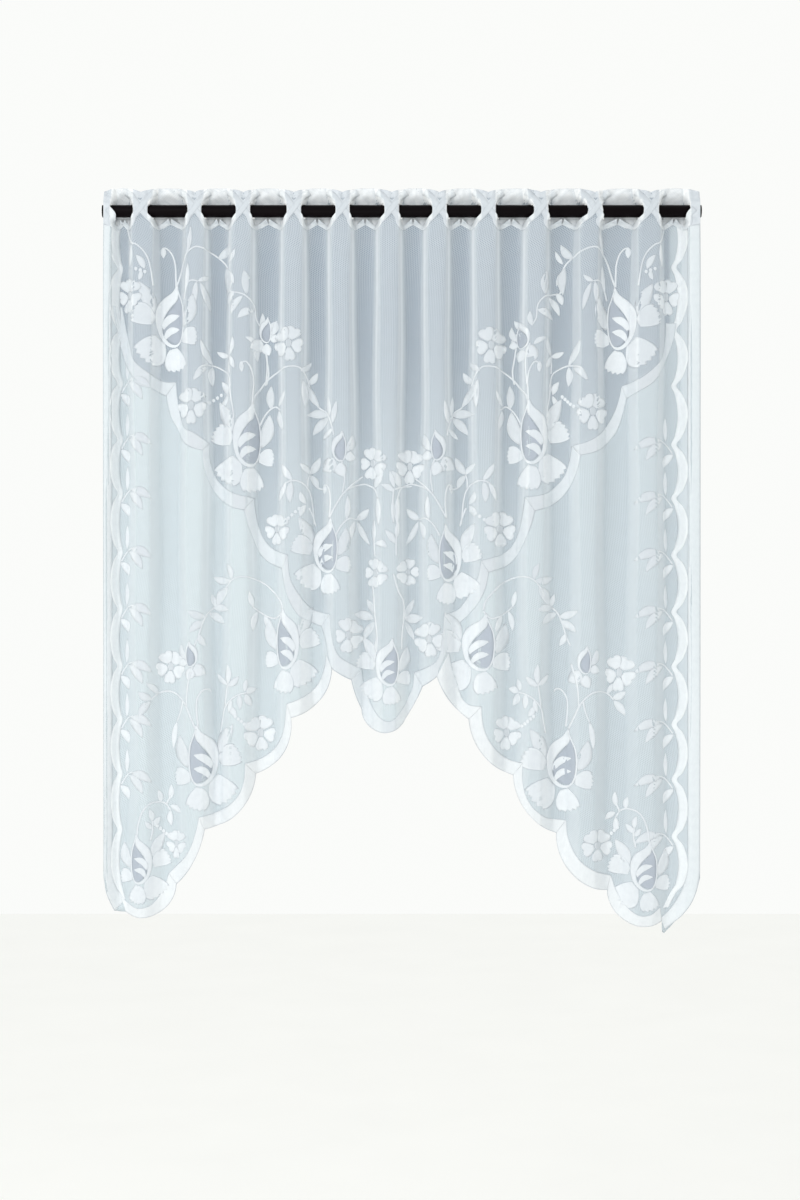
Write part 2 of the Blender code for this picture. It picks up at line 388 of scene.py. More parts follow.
# %% UV map and tones of the folds
RIDGE_WIDTH = 0.0040
SIDE_CLEARNESS = 0.35
CLEAR_FROM = 0.08
CLEAR_FROM_RUN = 0.09
CLEAR_TO = 0.81
CLEAR_TO_RUN = 0.11


def fold_tones(x, z):
    """Depth and valley: 1 in the middle of a valley, 0 on a rib. Ridge: 1 on a fold line.
    All fade towards the hem, and the last two towards the sides, where the folds hardly show."""
    ends = fold_ends(z)
    before = np.clip(np.sum(ends <= x, axis=0) - 1, 0, len(ends) - 2)
    column = np.arange(len(x))
    left = ends[before, column]
    right = ends[before + 1, column]
    crown = np.sin(math.pi * np.clip((x - left) / (right - left), 0.0, 1.0))
    low = smoothstep(1.4 * share_down(z))
    hollow = np.where(before % 2 == 0, -0.5, 0.5) * crown * (1.0 - 0.6 * low)
    inside = smoothstep((x - CLEAR_FROM) / CLEAR_FROM_RUN) * smoothstep((CLEAR_TO - x) / CLEAR_TO_RUN)
    clear = mix(SIDE_CLEARNESS, 1.0, inside)
    ridge = np.exp(-(np.minimum(x - left, right - x) / RIDGE_WIDTH) ** 2) * (1.0 - 0.5 * low)
    return 0.5 + hollow + 0.3 * low, 0.5 + hollow * clear, ridge * clear


def write_cloth_map(piece):
    points = points_of(piece)
    x, z = points[:, 0], points[:, 2]
    while piece.data.uv_layers:
        piece.data.uv_layers.remove(piece.data.uv_layers[0])
    cloth = piece.data.uv_layers.new(name="cloth")
    corners = np.empty(len(piece.data.loops), dtype=np.int32)
    piece.data.loops.foreach_get("vertex_index", corners)
    flat = np.column_stack([look_up(length_table, x, z), z])
    cloth.data.foreach_set("uv", flat[corners].ravel())
    slope = look_up(slope_table, x, z)
    set_tone(piece, "steep", 1.0 - 1.0 / np.sqrt(1.0 + slope**2))
    for name, values in zip(("depth", "valley", "ridge"), fold_tones(x, z)):
        set_tone(piece, name, values)


valley_tones = fold_tones(np.array([0.428]), np.array([MID_HEIGHT]))
print("depth, valley and ridge in a valley at mid height:",
      [round(float(values[0]), 2) for values in valley_tones])

# %% [markdown]
# ## Work out the outline of the cloth
# The lower edge is a chain of arcs that climbs from both corners to a round lobe in the middle.
# Each arc is given by its end and by how far it bulges to the right as one walks along it. The
# top edge rises in a shallow arc between one rib and the next, where the frill stands up.

# %% Arcs of the edge and a block to cut with
LEFT_SIDE_FOOT = -1.0748
ARC_STEP = 0.006
BLOCK_REACH = 0.06
NOTCH_REACH = 0.05
BLOCK_SIDES = (-0.05, 1.02)
# x and z of the end of each arc and its bulge, in metres, from the left side to the right one.
HEM_ARCS = [
    (0.0186, -1.1314, 0.0016), (0.0364, -1.1338, 0.0008), (0.1187, -1.0891, 0.0267),
    (0.1657, -0.9988, 0.0086), (0.2474, -0.9099, 0.0218), (0.3056, -0.8185, 0.0199),
    (0.3711, -0.7385, 0.0178), (0.4028, -0.7574, 0.0019), (0.4188, -0.8056, 0.0016),
    (0.4900, -0.8201, 0.0299), (0.5174, -0.7687, 0.0019), (0.5402, -0.7522, 0.0008),
    (0.5926, -0.8221, 0.0068), (0.6646, -0.9126, 0.0176), (0.7346, -1.0064, 0.0178),
    (0.8171, -1.0984, 0.0251), (0.9047, -1.1476, 0.0289), (0.9047, -1.1638, 0.0),
    (0.9088, -1.1681, 0.0008), (0.9650, -1.0774, 0.0073),
]


def arc_points(start, end, bulge):
    """Points from start to end, without the start, along an arc that bulges to the right."""
    run_x = end[0] - start[0]
    run_z = end[1] - start[1]
    chord = math.hypot(run_x, run_z)
    if abs(bulge) < 1e-6:
        return [end]
    half_angle = 2.0 * math.atan2(2.0 * bulge, chord)
    radius = chord / (2.0 * math.sin(half_angle))
    out = (run_z / chord, -run_x / chord)
    middle = (0.5 * (start[0] + end[0]), 0.5 * (start[1] + end[1]))
    reach = radius * math.cos(half_angle)
    centre = (middle[0] - out[0] * reach, middle[1] - out[1] * reach)
    first = math.atan2(start[1] - centre[1], start[0] - centre[0])
    count = max(2, round(2.0 * half_angle * radius / ARC_STEP))
    points = []
    for i in range(1, count + 1):
        angle = first + 2.0 * half_angle * i / count
        points.append((centre[0] + radius * math.cos(angle), centre[1] + radius * math.sin(angle)))
    return points


def cloth_outline():
    outline = [(LEFT_EDGE, FRILL_DIP), (LEFT_EDGE, LEFT_SIDE_FOOT)]
    for x, z, bulge in HEM_ARCS:
        outline += arc_points(outline[-1], (x, z), bulge)
    outline.append((RIGHT_EDGE, FRILL_DIP))
    for rib in reversed(MIDDLE_RIBS):
        outline += arc_points(outline[-1], (rib_centre(rib), FRILL_DIP), FRILL_RISE)
    outline += arc_points(outline[-1], (LEFT_EDGE, FRILL_DIP), FRILL_RISE)
    return outline[:-1]


def cutting_block(name, outline, front, back):
    """A block with the outline as its front face, to trim cloth with."""
    bpy.ops.object.select_all(action="DESELECT")
    bpy.ops.mesh.primitive_circle_add(vertices=len(outline), radius=1.0, fill_type="NGON")
    block = bpy.context.object
    block.name = name
    move_points(block, [(x, front, z) for x, z in outline])
    bpy.ops.object.mode_set(mode="EDIT")
    bpy.ops.mesh.select_all(action="SELECT")
    bpy.ops.mesh.extrude_region_move(TRANSFORM_OT_translate={"value": (0, back - front, 0)})
    bpy.ops.mesh.select_all(action="SELECT")
    bpy.ops.mesh.normals_make_consistent(inside=False)
    bpy.ops.object.mode_set(mode="OBJECT")
    return block


def trim_cloth(piece, block, operation):
    apply_modifier(piece, "BOOLEAN", object=block, operation=operation, solver="MANIFOLD")


outline_block = cutting_block("outline_block", cloth_outline(), -BLOCK_REACH, BLOCK_REACH)
eyelet_top = ROD_RADIUS + SEAT_GAP
eyelet_corners = [(BLOCK_SIDES[0], EYELET_BOTTOM), (BLOCK_SIDES[1], EYELET_BOTTOM),
                  (BLOCK_SIDES[1], eyelet_top), (BLOCK_SIDES[0], eyelet_top)]
eyelet_block = cutting_block("eyelet_block", eyelet_corners, -EYELET_HALF_DEPTH, EYELET_HALF_DEPTH)
notch_blocks = []
for rib in MIDDLE_RIBS:
    x = rib_centre(rib)
    corners = [(x, NOTCH_TOP - NOTCH_HEIGHT), (x + 0.5 * NOTCH_WIDTH, NOTCH_TOP),
               (x - 0.5 * NOTCH_WIDTH, NOTCH_TOP)]
    notch_blocks.append(cutting_block(f"notch_block_{rib}", corners, -NOTCH_REACH, 0.0))
print("outline of", len(cloth_outline()), "points,", len(notch_blocks), "notches")

# %% [markdown]
# ## Knit the net ground
# The ground is one sheet of open net, 0.4 mm thick, from the frill to the hem. Its columns are
# crowded where the cloth turns, so each fold stays round, and its rows where the heading
# is pinched by the rod. The hem and the eyelets are cut out of it as they are in the solid that
# it stands for. The small notches over the rod are left out of the net, because only the dense
# heading has them, and the net shows grey through them.

# %% Net sheet
NET_THICKNESS = 0.0004
TURN_COLUMNS = 10
PLATEAU_COLUMNS = 5
EVEN_FROM = 0.004
EVEN_RUN = 0.010
# The rows stand close at the rod, where the net is pinched, and 17 mm apart below.
row_heights = np.concatenate([
    np.linspace(0.044, 0.012, 8), np.linspace(0.008, -0.020, 8), np.linspace(-0.026, -0.080, 9),
    np.linspace(-0.092, -1.212, 66),
])


def net_columns(z):
    """x of every column of the net at each height, crowded where the cloth turns."""
    ends = fold_ends(z)
    turns = fold_turns(z)
    steps = []
    for i in range(len(ends) - 1):
        start = ends[i] + (turns[i - 1] if i > 0 else 0.0)
        stop = ends[i + 1] - (turns[i] if i < len(turns) else 0.0)
        steps += [mix(start, stop, j / PLATEAU_COLUMNS) for j in range(PLATEAU_COLUMNS)]
        if i < len(turns):
            finish = ends[i + 1] + turns[i]
            steps += [mix(stop, finish, j / TURN_COLUMNS) for j in range(TURN_COLUMNS)]
    steps.append(ends[-1])
    return np.array(steps)


def crowd_top(steps, z):
    """Above the rod the columns stand evenly, close enough for the crumples."""
    even = np.linspace(LEFT_EDGE - TRIM_MARGIN, RIGHT_EDGE + TRIM_MARGIN, len(steps))[:, None]
    return mix(steps, even, smoothstep((z - EVEN_FROM) / EVEN_RUN)[None, :])


columns = crowd_top(net_columns(row_heights), row_heights)
net = new_grid("net_ground", columns.shape[0] - 1, columns.shape[1] - 1)
net_x = columns.T[::-1].ravel()
net_z = np.repeat(row_heights[::-1], columns.shape[0])
move_points(net, np.column_stack([net_x, sheet_y(net_x, net_z), net_z]))
apply_modifier(net, "SOLIDIFY", thickness=NET_THICKNESS, offset=0.0)
trim_cloth(net, outline_block, "INTERSECT")
trim_cloth(net, eyelet_block, "DIFFERENCE")
write_cloth_map(net)
net.data.shade_smooth()
print("net:", len(net.data.polygons), "faces, lowest and highest point",
      points_of(net).min(axis=0).round(4), points_of(net).max(axis=0).round(4))

# %% [markdown]
# ## Draw smooth lines and lay strips between them
# The bands are plain white strips with scalloped edges. Each scallop is one strip between two
# smooth lines through a few places of the layout, so the corners between scallops stay
# sharp. The strip carries two tones for the finish: how far across it a point lies, from -1 to
# 1, and how solid the knitting is. Where pieces cross, each higher layer is a little thicker,
# so their faces never lie in one plane.

# %% Smooth line, strip and cord
STRIP_SPACING = 1.25
CORD_SPACING = 1.3
LINE_STEPS = 12


def smooth_line(places, count):
    """count places, evenly spaced, on a smooth line through the given ones."""
    p = np.array(places, dtype=float)
    if len(p) == 2:
        return mix(p[0], p[1], np.linspace(0.0, 1.0, count)[:, None])
    p = np.vstack([2 * p[0] - p[1], p, 2 * p[-1] - p[-2]])
    share = np.linspace(0.0, 1.0, LINE_STEPS + 1)[:-1, None]
    line = []
    for a, b, c, d in zip(p[:-3], p[1:-2], p[2:-1], p[3:]):
        line.append(0.5 * (2 * b + (c - a) * share + (2 * a - 5 * b + 4 * c - d) * share**2
                           + (3 * b - a - 3 * c + d) * share**3))
    line = np.vstack(line + [p[-2:-1]])
    run = np.concatenate([[0.0], np.cumsum(np.hypot(*np.diff(line, axis=0).T))])
    even = np.linspace(0.0, run[-1], count)
    return np.column_stack([np.interp(even, run, line[:, 0]), np.interp(even, run, line[:, 1])])


def line_length(places):
    return float(np.sum(np.hypot(*np.diff(np.array(places, dtype=float), axis=0).T)))


def finish_patch(patch, across, along, shares, layer, solid):
    """Puts a grid's points at their places on the flat layout and writes its tones."""
    x, z = place(across, along)
    move_points(patch, np.column_stack([x, np.zeros_like(x), z]))
    set_tone(patch, "across", shares)
    set_tone(patch, "layer", np.full(len(x), float(layer)))
    set_tone(patch, "solid", np.full(len(x), float(solid)))
    return patch


def lay_strip(first, second, rows, layer=0, count=None):
    """A strip of lace between two lines of the layout."""
    if count is None:
        count = max(4, int(max(line_length(first), line_length(second)) / STRIP_SPACING))
    patch = new_grid("strip", rows, count - 1)
    edge_a = smooth_line(first, count)
    edge_b = smooth_line(second, count)
    share = np.linspace(0.0, 1.0, rows + 1)
    across = mix(edge_a[:, 0:1], edge_b[:, 0:1], share[None, :]).ravel()
    along = mix(edge_a[:, 1:2], edge_b[:, 1:2], share[None, :]).ravel()
    return finish_patch(patch, across, along, np.tile(2 * share - 1, count), layer, 1.0)


def lay_cord(places, start_width, end_width, layer=0, solid=1.0, across_count=2):
    """A knitted line, such as a stem, as a narrow strip along a smooth line."""
    count = max(4, int(line_length(places) / CORD_SPACING))
    line = smooth_line(places, count)
    way = np.gradient(line, axis=0)
    way /= np.hypot(way[:, 0], way[:, 1])[:, None]
    side = np.column_stack([-way[:, 1], way[:, 0]])
    width = np.linspace(start_width, end_width, count)[:, None]
    patch = new_grid("cord", across_count, count - 1)
    share = np.linspace(-0.5, 0.5, across_count + 1)
    spots = line[:, None, :] + side[:, None, :] * (width * share[None, :])[:, :, None]
    across = spots[:, :, 0].ravel()
    along = spots[:, :, 1].ravel()
    return finish_patch(patch, across, along, np.tile(2 * share, count), layer, solid)


print("a strip gets a row of points every", round(STRIP_SPACING * STEP * 1000, 1), "mm")

# %% [markdown]
# The finished patches of one kind are joined and hung on the folds, and Solidify makes them
# as thick as such knitting is. Each piece reaches out of the net on both sides of it.

# %% Joined lace
LAYER_STEP = 0.00007
LACE_THICKNESS = {
    "v_band": 0.0009, "hem_band": 0.00105, "side_hems": 0.00075, "wavy_borders": 0.00082,
    "heading": 0.0012, "eyelet_rims": 0.0015, "eyelet_lips": 0.0014, "bud_hollows": 0.0006,
    "leaves": 0.00078, "stems": 0.00095, "petals": 0.00085, "buds": 0.0009,
    "small_flowers": 0.0009, "beads": 0.0010,
}
lace_pieces = []


def join_lace(name, patches, depth=fold_y):
    """Joins the patches, hangs them on the folds and gives them their thickness."""
    thickness = LACE_THICKNESS[name]
    bpy.ops.object.select_all(action="DESELECT")
    for patch in patches:
        patch.select_set(True)
    bpy.context.view_layer.objects.active = patches[0]
    if len(patches) > 1:
        bpy.ops.object.join()
    lace = bpy.context.view_layer.objects.active
    lace.name = name
    lace.data.name = name
    points = points_of(lace)
    points[:, 1] = depth(points[:, 0], points[:, 2])
    move_points(lace, points)
    layers = np.empty(len(points))
    lace.data.attributes["layer"].data.foreach_get("value", layers)
    most = layers.max() + 1.0
    group = lace.vertex_groups.new(name="thickness")
    for layer in np.unique(layers):
        weight = (thickness + layer * LAYER_STEP) / (thickness + most * LAYER_STEP)
        group.add(np.nonzero(layers == layer)[0].tolist(), float(weight), "REPLACE")
    apply_modifier(lace, "SOLIDIFY", thickness=thickness + most * LAYER_STEP, offset=0.0,
                   vertex_group="thickness")
    lace.vertex_groups.clear()
    write_cloth_map(lace)
    lace.data.shade_smooth()
    lace_pieces.append(lace)
    print(name, "has", len(patches), "patches and", len(lace.data.polygons), "faces")


print("kinds of lace:", len(LACE_THICKNESS))

# %% [markdown]
# ## The scalloped V band
# A band about 20 mm wide runs from each top corner down to the middle in five scallops, and
# closes round a deep lobe at the point of the V. It has a hard outer corner wherever
# two scallops meet. The first line of each pair below is the outer edge, the second the inner.

# %% V band
V_BAND = [
    ([(113, 306), (117, 335), (121, 352), (126.8, 368), (138, 382), (153.6, 390), (165, 395.4)],
     [(121, 306), (126, 332), (130, 346), (135, 361), (149, 373), (162.7, 380.5), (175.4, 381)]),
    ([(165, 395.4), (167, 406.5), (171, 419), (176.5, 428), (183, 441), (192, 448), (203.4, 451)],
     [(175.4, 381), (177, 400), (181, 420), (186, 429), (195.6, 433.5), (209.5, 443.5)]),
    ([(203.4, 451), (204, 464), (209.6, 484), (218.6, 498), (231, 507), (244.5, 510.7)],
     [(209.5, 443.5), (209.8, 459), (214, 475), (223, 486), (236, 494), (254.3, 498)]),
    ([(244.5, 510.7), (250.7, 532), (258, 551), (267, 561.6), (282, 568.8)],
     [(254.3, 498), (256, 516), (261.5, 535), (272, 548), (288.3, 555)]),
    ([(282, 568.8), (284, 582), (288, 597), (294, 609), (302, 618), (321, 626.7)],
     [(288.3, 555), (290.5, 577), (298, 592), (307, 604), (315, 610.5), (330, 614)]),
    ([(321, 626.7), (326, 642), (328, 655), (332, 668), (341, 674), (351.6, 679.7)],
     [(330, 614), (331, 629), (334, 644.6), (339, 655), (347, 661), (361.8, 668.8)]),
    ([(677.7, 322), (675, 338), (669.7, 353), (660, 372.5), (652, 383.6), (639, 391.6),
      (627.5, 398)],
     [(666.5, 322), (666, 340), (662, 357), (654, 367.7), (639, 379), (622.7, 385)]),
    ([(627.5, 398), (625, 409), (621, 423), (615.7, 434), (605, 446), (594, 452.7), (580, 456)],
     [(622.7, 385), (620, 398), (615, 412), (606, 427), (596, 437), (584, 443), (572, 445.5)]),
    ([(580, 456), (578, 466), (573, 482), (564, 496), (551, 506), (534.5, 511.6)],
     [(572, 445.5), (570, 461), (564, 477), (551, 490), (539, 495.5), (524.6, 497)]),
    ([(534.5, 511.6), (531, 525), (524.6, 541), (518, 555), (507, 566), (488.5, 572.7)],
     [(524.6, 497), (522.5, 514), (519, 532), (512, 546), (500, 555), (480.7, 560.5)]),
    ([(488.5, 572.7), (485.7, 587), (480.6, 599), (474, 609), (466.5, 617.5), (453.8, 628)],
     [(480.7, 560.5), (478, 576), (472, 590), (464, 603), (457, 610), (443.6, 614.6)]),
    ([(453.8, 628), (450, 641), (445.5, 654), (439, 669), (436.6, 676.5), (422.5, 686.7)],
     [(443.6, 614.6), (442.5, 635), (441, 650), (436, 661), (427, 667), (414.2, 672.7)]),
]
LOBE_INNER = [(361.8, 668.8), (363, 680), (367, 694), (372, 706), (379, 716), (386, 720.5),
              (392.4, 720), (398, 714.7), (404, 706), (409, 695.6), (413, 686), (414.2, 672.7)]


def outline_run(first, last):
    """Part of the cloth's own edge, from the end of one arc of the hem to that of another."""
    points = [HEM_ARCS[first][:2]]
    for x, z, bulge in HEM_ARCS[first + 1:last + 1]:
        points += arc_points(points[-1], (x, z), bulge)
    return [(x / STEP + ROD_START[0], ROD_START[1] - z / STEP) for x, z in points]


v_patches = [lay_strip(outer, inner, rows=8, layer=i % 2) for i, (outer, inner) in enumerate(V_BAND)]
v_patches.append(lay_strip(outline_run(7, 10), LOBE_INNER, rows=8, layer=2))
join_lace("v_band", v_patches)

# %% [markdown]
# ## The scalloped hem band
# The cloth ends in a band of the same kind. Its outer edge is the cut edge of the cloth, so
# it takes the arcs of the outline, and only its inner edge is laid out by places.

# %% Hem band
# Number of the arc before each scallop, number of its last arc, and its inner edge.
HEM_BAND = [
    (1, 2, [(119, 893), (124, 900.5), (130.4, 905), (138.4, 907.6), (148, 906), (155, 901),
            (163, 889), (168, 874)]),
    (2, 3, [(168, 874), (176, 866), (185.7, 856), (192, 844.6), (196.4, 831), (199.5, 816.5)]),
    (3, 4, [(199.5, 816.5), (214.7, 813), (226, 807), (235, 799.5), (241, 791), (244.5, 779),
            (245.5, 763)]),
    (4, 5, [(245.5, 763), (259.6, 759), (272, 751), (280, 740), (284.6, 726), (287, 703.5)]),
    (5, 6, [(287, 703.5), (300.6, 698), (312, 690.5), (320, 680), (325, 665), (326, 655)]),
    (11, 12, [(449, 652), (453, 670), (458.4, 687), (463, 699), (470, 705), (481.3, 705.8)]),
    (12, 13, [(481.3, 705.8), (482.5, 721), (486, 734), (493, 746), (502, 755), (511, 760.5),
              (523, 763)]),
    (13, 14, [(523, 763), (522.5, 778), (525, 793), (531, 805), (540, 813.6), (549, 818.5),
              (567, 820.7)]),
    (14, 15, [(567, 820.7), (568, 834), (572, 847), (579, 859), (588.8, 867), (600, 872.5),
              (611.6, 876)]),
    (15, 16, [(611.6, 876), (617, 891), (624, 903), (632, 911), (640, 915), (650, 914),
              (660, 907)]),
]
join_lace("hem_band", [lay_strip(outline_run(first, last), inner, rows=8, layer=i % 2)
                       for i, (first, last, inner) in enumerate(HEM_BAND)])

# %% [markdown]
# ## Plain side hems and wavy borders
# Each side is turned in as a narrow plain hem. Beside it runs a wavy border, a ribbon of dense
# knitting that comes in to a point every 90 mm and bows out towards the hem in between.

# %% Side hems and wavy borders
straight_run = range(226, 870, 14)
left_hem = lay_strip([(104.6, y) for y in straight_run] + [(105.2, 880), (108, 895), (114, 911)],
                     [(112.4, y) for y in straight_run] + [(113.4, 876), (117, 889), (124, 901)],
                     rows=4, count=540)
right_hem = lay_strip([(699.2, y) for y in straight_run] + [(698.6, 878), (693, 898),
                                                            (681, 917), (665.5, 930)],
                      [(687, y) for y in straight_run] + [(685.4, 876), (680.5, 893),
                                                          (671, 909), (661, 918)],
                      rows=6, count=570)
join_lace("side_hems", [left_hem, right_hem])

LEFT_NODES = [214, 268, 330, 383, 439, 493, 552, 609, 666, 720, 774, 830, 889]
RIGHT_NODES = [212, 266, 329, 385, 444, 498, 555, 612, 667, 725, 780, 837, 893]
WAVE_STEPS = 8
WAVE_ROUNDNESS = 0.72
FOOT_HALF_WIDTH = 3.0


def wavy_border(nodes, node_x, bow, node_width, bow_width, foot):
    """Two edges of a ribbon that comes in at the nodes and bows out between them."""
    outer = []
    inner = []
    for start, stop in zip(nodes[:-1], nodes[1:]):
        for share in np.linspace(0.0, 1.0, WAVE_STEPS + 1)[:-1]:
            out = math.sin(math.pi * share) ** WAVE_ROUNDNESS
            middle = node_x + bow * out
            half = 0.5 * mix(node_width, bow_width, out)
            down = mix(start, stop, share)
            outer.append((middle - half, down))
            inner.append((middle + half, down))
    outer += [(x - FOOT_HALF_WIDTH, y) for x, y in foot]
    inner += [(x + FOOT_HALF_WIDTH, y) for x, y in foot]
    return lay_strip(outer, inner, rows=4, count=int((nodes[-1] - nodes[0]) / STRIP_SPACING))


left_wave = wavy_border(LEFT_NODES, 119.2, -4.6, 5.6, 8.6, [(119, 889), (122, 900)])
right_wave = wavy_border(RIGHT_NODES, 675.0, 8.2, 5.6, 9.2, [(674, 893), (666, 908)])
join_lace("wavy_borders", [left_wave, right_wave])

# %% [markdown]
# ## The eyelet heading and the frill
# Above the net the knitting is dense. Under the rod it ends in lobes, one beside each
# eyelet, and opens in a narrow upside-down V under each rib. Above the rod it
# stands up as a frill with a softly crumpled top. The same blocks cut the eyelets, the
# notches and the top edge as in the net.

# %% Heading
# z of the heading's lower edge, in metres: beside a rib, in the middle of a valley and
# between them, at both shoulders of the opening under a rib, at its tip, and at the sides.
LOBE_FOOT = -0.0272
CUSP_FOOT = -0.0195
BELLY_FOOT = -0.0258
SHOULDER_FOOT = -0.0175
OPENING_TIP = -0.0046
SIDE_FOOT = -0.020
SHOULDER_SHARE = 0.55
SIDE_OVERLAP = 0.02
LOBE_LEVEL = -0.026
HEADING_TOP = 0.042
HEADING_COLUMNS = 640
HEADING_MARGIN = 0.004
lobe_x = fold_lines(np.array([LOBE_LEVEL]))[:, 0]


def heading_foot(x):
    """The lower edge of the dense heading at each x: lobes, cusps and narrow openings."""
    spots = [(LEFT_EDGE - SIDE_OVERLAP, SIDE_FOOT)]
    for i in range(0, len(lobe_x), 2):
        start, stop = lobe_x[i:i + 2]
        valley = 0.5 * (start + stop)
        quarter = 0.5 * (stop - valley)
        if i > 0:
            centre = rib_centre(i // 2)
            spots += [(centre, OPENING_TIP),
                      (centre + SHOULDER_SHARE * (start - centre), SHOULDER_FOOT)]
        spots += [(start, LOBE_FOOT), (valley - quarter, BELLY_FOOT), (valley, CUSP_FOOT),
                  (valley + quarter, BELLY_FOOT), (stop, LOBE_FOOT)]
        if i + 2 < len(lobe_x):
            centre = rib_centre(i // 2 + 1)
            spots.append((centre - SHOULDER_SHARE * (centre - stop), SHOULDER_FOOT))
    spots.append((RIGHT_EDGE + SIDE_OVERLAP, SIDE_FOOT))
    table = np.array(spots)
    return np.interp(x, table[:, 0], table[:, 1])


# The rows stand closer above the rod, where the pleats of the frill are small.
heading_rows = np.concatenate([np.linspace(0.0, 0.36, 9)[:-1], np.linspace(0.36, 1.0, 22)])
heading = new_grid("heading", HEADING_COLUMNS, len(heading_rows) - 1)
spot_x = np.linspace(LEFT_EDGE - HEADING_MARGIN, RIGHT_EDGE + HEADING_MARGIN, HEADING_COLUMNS + 1)
heading_x = np.tile(spot_x, len(heading_rows))
heading_z = mix(heading_foot(spot_x)[None, :], HEADING_TOP, heading_rows[:, None]).ravel()
move_points(heading, np.column_stack([heading_x, sheet_y(heading_x, heading_z), heading_z]))
apply_modifier(heading, "SOLIDIFY", thickness=LACE_THICKNESS["heading"], offset=0.0)
trim_cloth(heading, outline_block, "INTERSECT")
trim_cloth(heading, eyelet_block, "DIFFERENCE")
for block in notch_blocks:
    trim_cloth(heading, block, "DIFFERENCE")
write_cloth_map(heading)
heading.data.shade_smooth()
lace_pieces.append(heading)
for block in [outline_block, eyelet_block, *notch_blocks]:
    bpy.data.objects.remove(block)
print("heading:", len(heading.data.polygons), "faces")

# %% [markdown]
# ## The corded rims of the eyelets
# Every eyelet has a corded rim. Over each rib the rims of two eyelets cross in front of the rod
# like an X. Their legs fan out over the frill above, and below they run down to a pointed lobe
# beside the rib and up again behind the rod, to the middle of the valley. Where a leg
# leaves the rib it still lies in front of the rod, and it cuts the corners of each
# piece of rod that shows. A thin cord closes each eyelet just under the rod.

# %% Eyelet rims
RIM_FRONT = -0.0119
RIM_LEAVES_ROD = 0.0105
RIM_RUN = 0.009
RIM_WIDTHS = (6.4, 4.4)
RIM_SOLID = 0.72
LIP_WIDTH = 1.3
LIP_DOWN = 219.2


def rim_y(x, z):
    """A leg lies in front of the rod until it has passed it, and on the folds from there."""
    past_rod = smoothstep((np.abs(z) - RIM_LEAVES_ROD) / RIM_RUN)
    return mix(np.minimum(fold_y(x, z), RIM_FRONT), sheet_y(x, z), past_rod)


rims = []
lips = []
lobes = lobe_x / STEP + ROD_START[0]
at_rod = FOLD_LINES[:, 0] / STEP + ROD_START[0]
middles = RIB_MIDDLES / STEP + ROD_START[0]
for i, lobe in enumerate(lobes):
    middle = middles[(i + 1) // 2]
    facing = 1 if lobe > middle else -1
    partner = lobes[i + 1] if i % 2 == 0 else lobes[i - 1]
    valley = 0.5 * (lobe + partner)
    route = [(middle - facing * 15, 192), (middle - facing * 9, 196.5),
             (middle - facing * 4.5, 203), (middle, 209.6), (middle + facing * 5.6, 216.2),
             (lobe - facing * 3.0, 222.5), (lobe + facing * 0.5, 227.4),
             (lobe + facing * 4.0, 225.6), (valley - facing * 0.5, 221.5)]
    if i in (0, len(lobes) - 1):
        route = route[3:]
    rims.append(lay_cord(route, *RIM_WIDTHS, layer=i % 2, solid=RIM_SOLID, across_count=4))
    if i % 2 == 0:
        lip = [(at_rod[i] + 1, LIP_DOWN), (at_rod[i + 1] - 1, LIP_DOWN)]
        lips.append(lay_cord(lip, LIP_WIDTH, LIP_WIDTH))
join_lace("eyelet_rims", rims, depth=rim_y)
join_lace("eyelet_lips", lips)

# %% [markdown]
# ## Model one leaf, one petal and the other motifs
# Jacquard figures are made of the same few shapes over and over. Each is modelled once as a
# small grid of unit size, with its outline given by a profile: the share of the full width at
# each point of its length. A copy is then laid from its root to its tip, with its own
# width and bend. The outlines here are plain garden shapes of our own.

# %% Motif patterns
def straight_end(share):
    return np.ones_like(share)


def motif_pattern(name, rows, columns, profile, end=straight_end):
    """A unit patch: x across from -0.5 to 0.5, z along from 0 to 1."""
    pattern = new_grid(name, columns, rows)
    points = points_of(pattern)
    share = 2.0 * points[:, 0]
    along = points[:, 1] + 0.5
    width = profile(along)
    across = 0.5 * share * width
    move_points(pattern, np.column_stack([across, np.zeros_like(across), along * end(share)]))
    set_tone(pattern, "across", share)
    set_tone(pattern, "layer", np.zeros(len(points)))
    set_tone(pattern, "solid", np.ones(len(points)))
    return pattern


def pointed(along):
    return np.maximum(np.sin(math.pi * along**0.9) ** 0.85, 0.07)


def opening_petal(along):
    return np.interp(along, [0, 0.15, 0.4, 0.65, 0.85, 1.0], [0.36, 0.60, 0.88, 1.0, 0.98, 0.86])


def round_petal(along):
    return np.interp(along, [0, 0.2, 0.45, 0.7, 0.88, 1.0], [0.24, 0.52, 0.86, 1.0, 0.95, 0.72])


def finger(along):
    return np.interp(along, [0, 0.3, 0.7, 0.9, 1.0], [0.55, 0.9, 1.0, 0.86, 0.5])


def oval(along):
    return np.maximum(np.sqrt(np.clip(1.0 - (2.0 * along - 1.0) ** 2, 0.0, 1.0)), 0.22)


def toothed_end(share):
    return 1.0 - 0.10 * share**2 - 0.22 * np.abs((2.0 * share + 0.5) % 1.0 - 0.5)


def round_end(share):
    return 1.0 - 0.16 * share**2


def notched_end(share):
    return 1.0 - 0.10 * share**2 - 0.16 * np.clip(1.0 - np.abs(share) / 0.45, 0.0, 1.0)


patterns = {
    "leaf": motif_pattern("leaf_pattern", 9, 4, pointed),
    "petal": motif_pattern("petal_pattern", 14, 16, opening_petal, toothed_end),
    "round_petal": motif_pattern("round_petal_pattern", 8, 6, round_petal, notched_end),
    "finger": motif_pattern("finger_pattern", 14, 8, finger, round_end),
    "oval": motif_pattern("oval_pattern", 6, 5, oval),
}
for pattern in patterns.values():
    for collection in list(pattern.users_collection):
        collection.objects.unlink(pattern)
print("patterns:", ", ".join(patterns))

# %% [markdown]
# A copy is laid from its root to its tip. Its bend is how far its middle bows to the side.

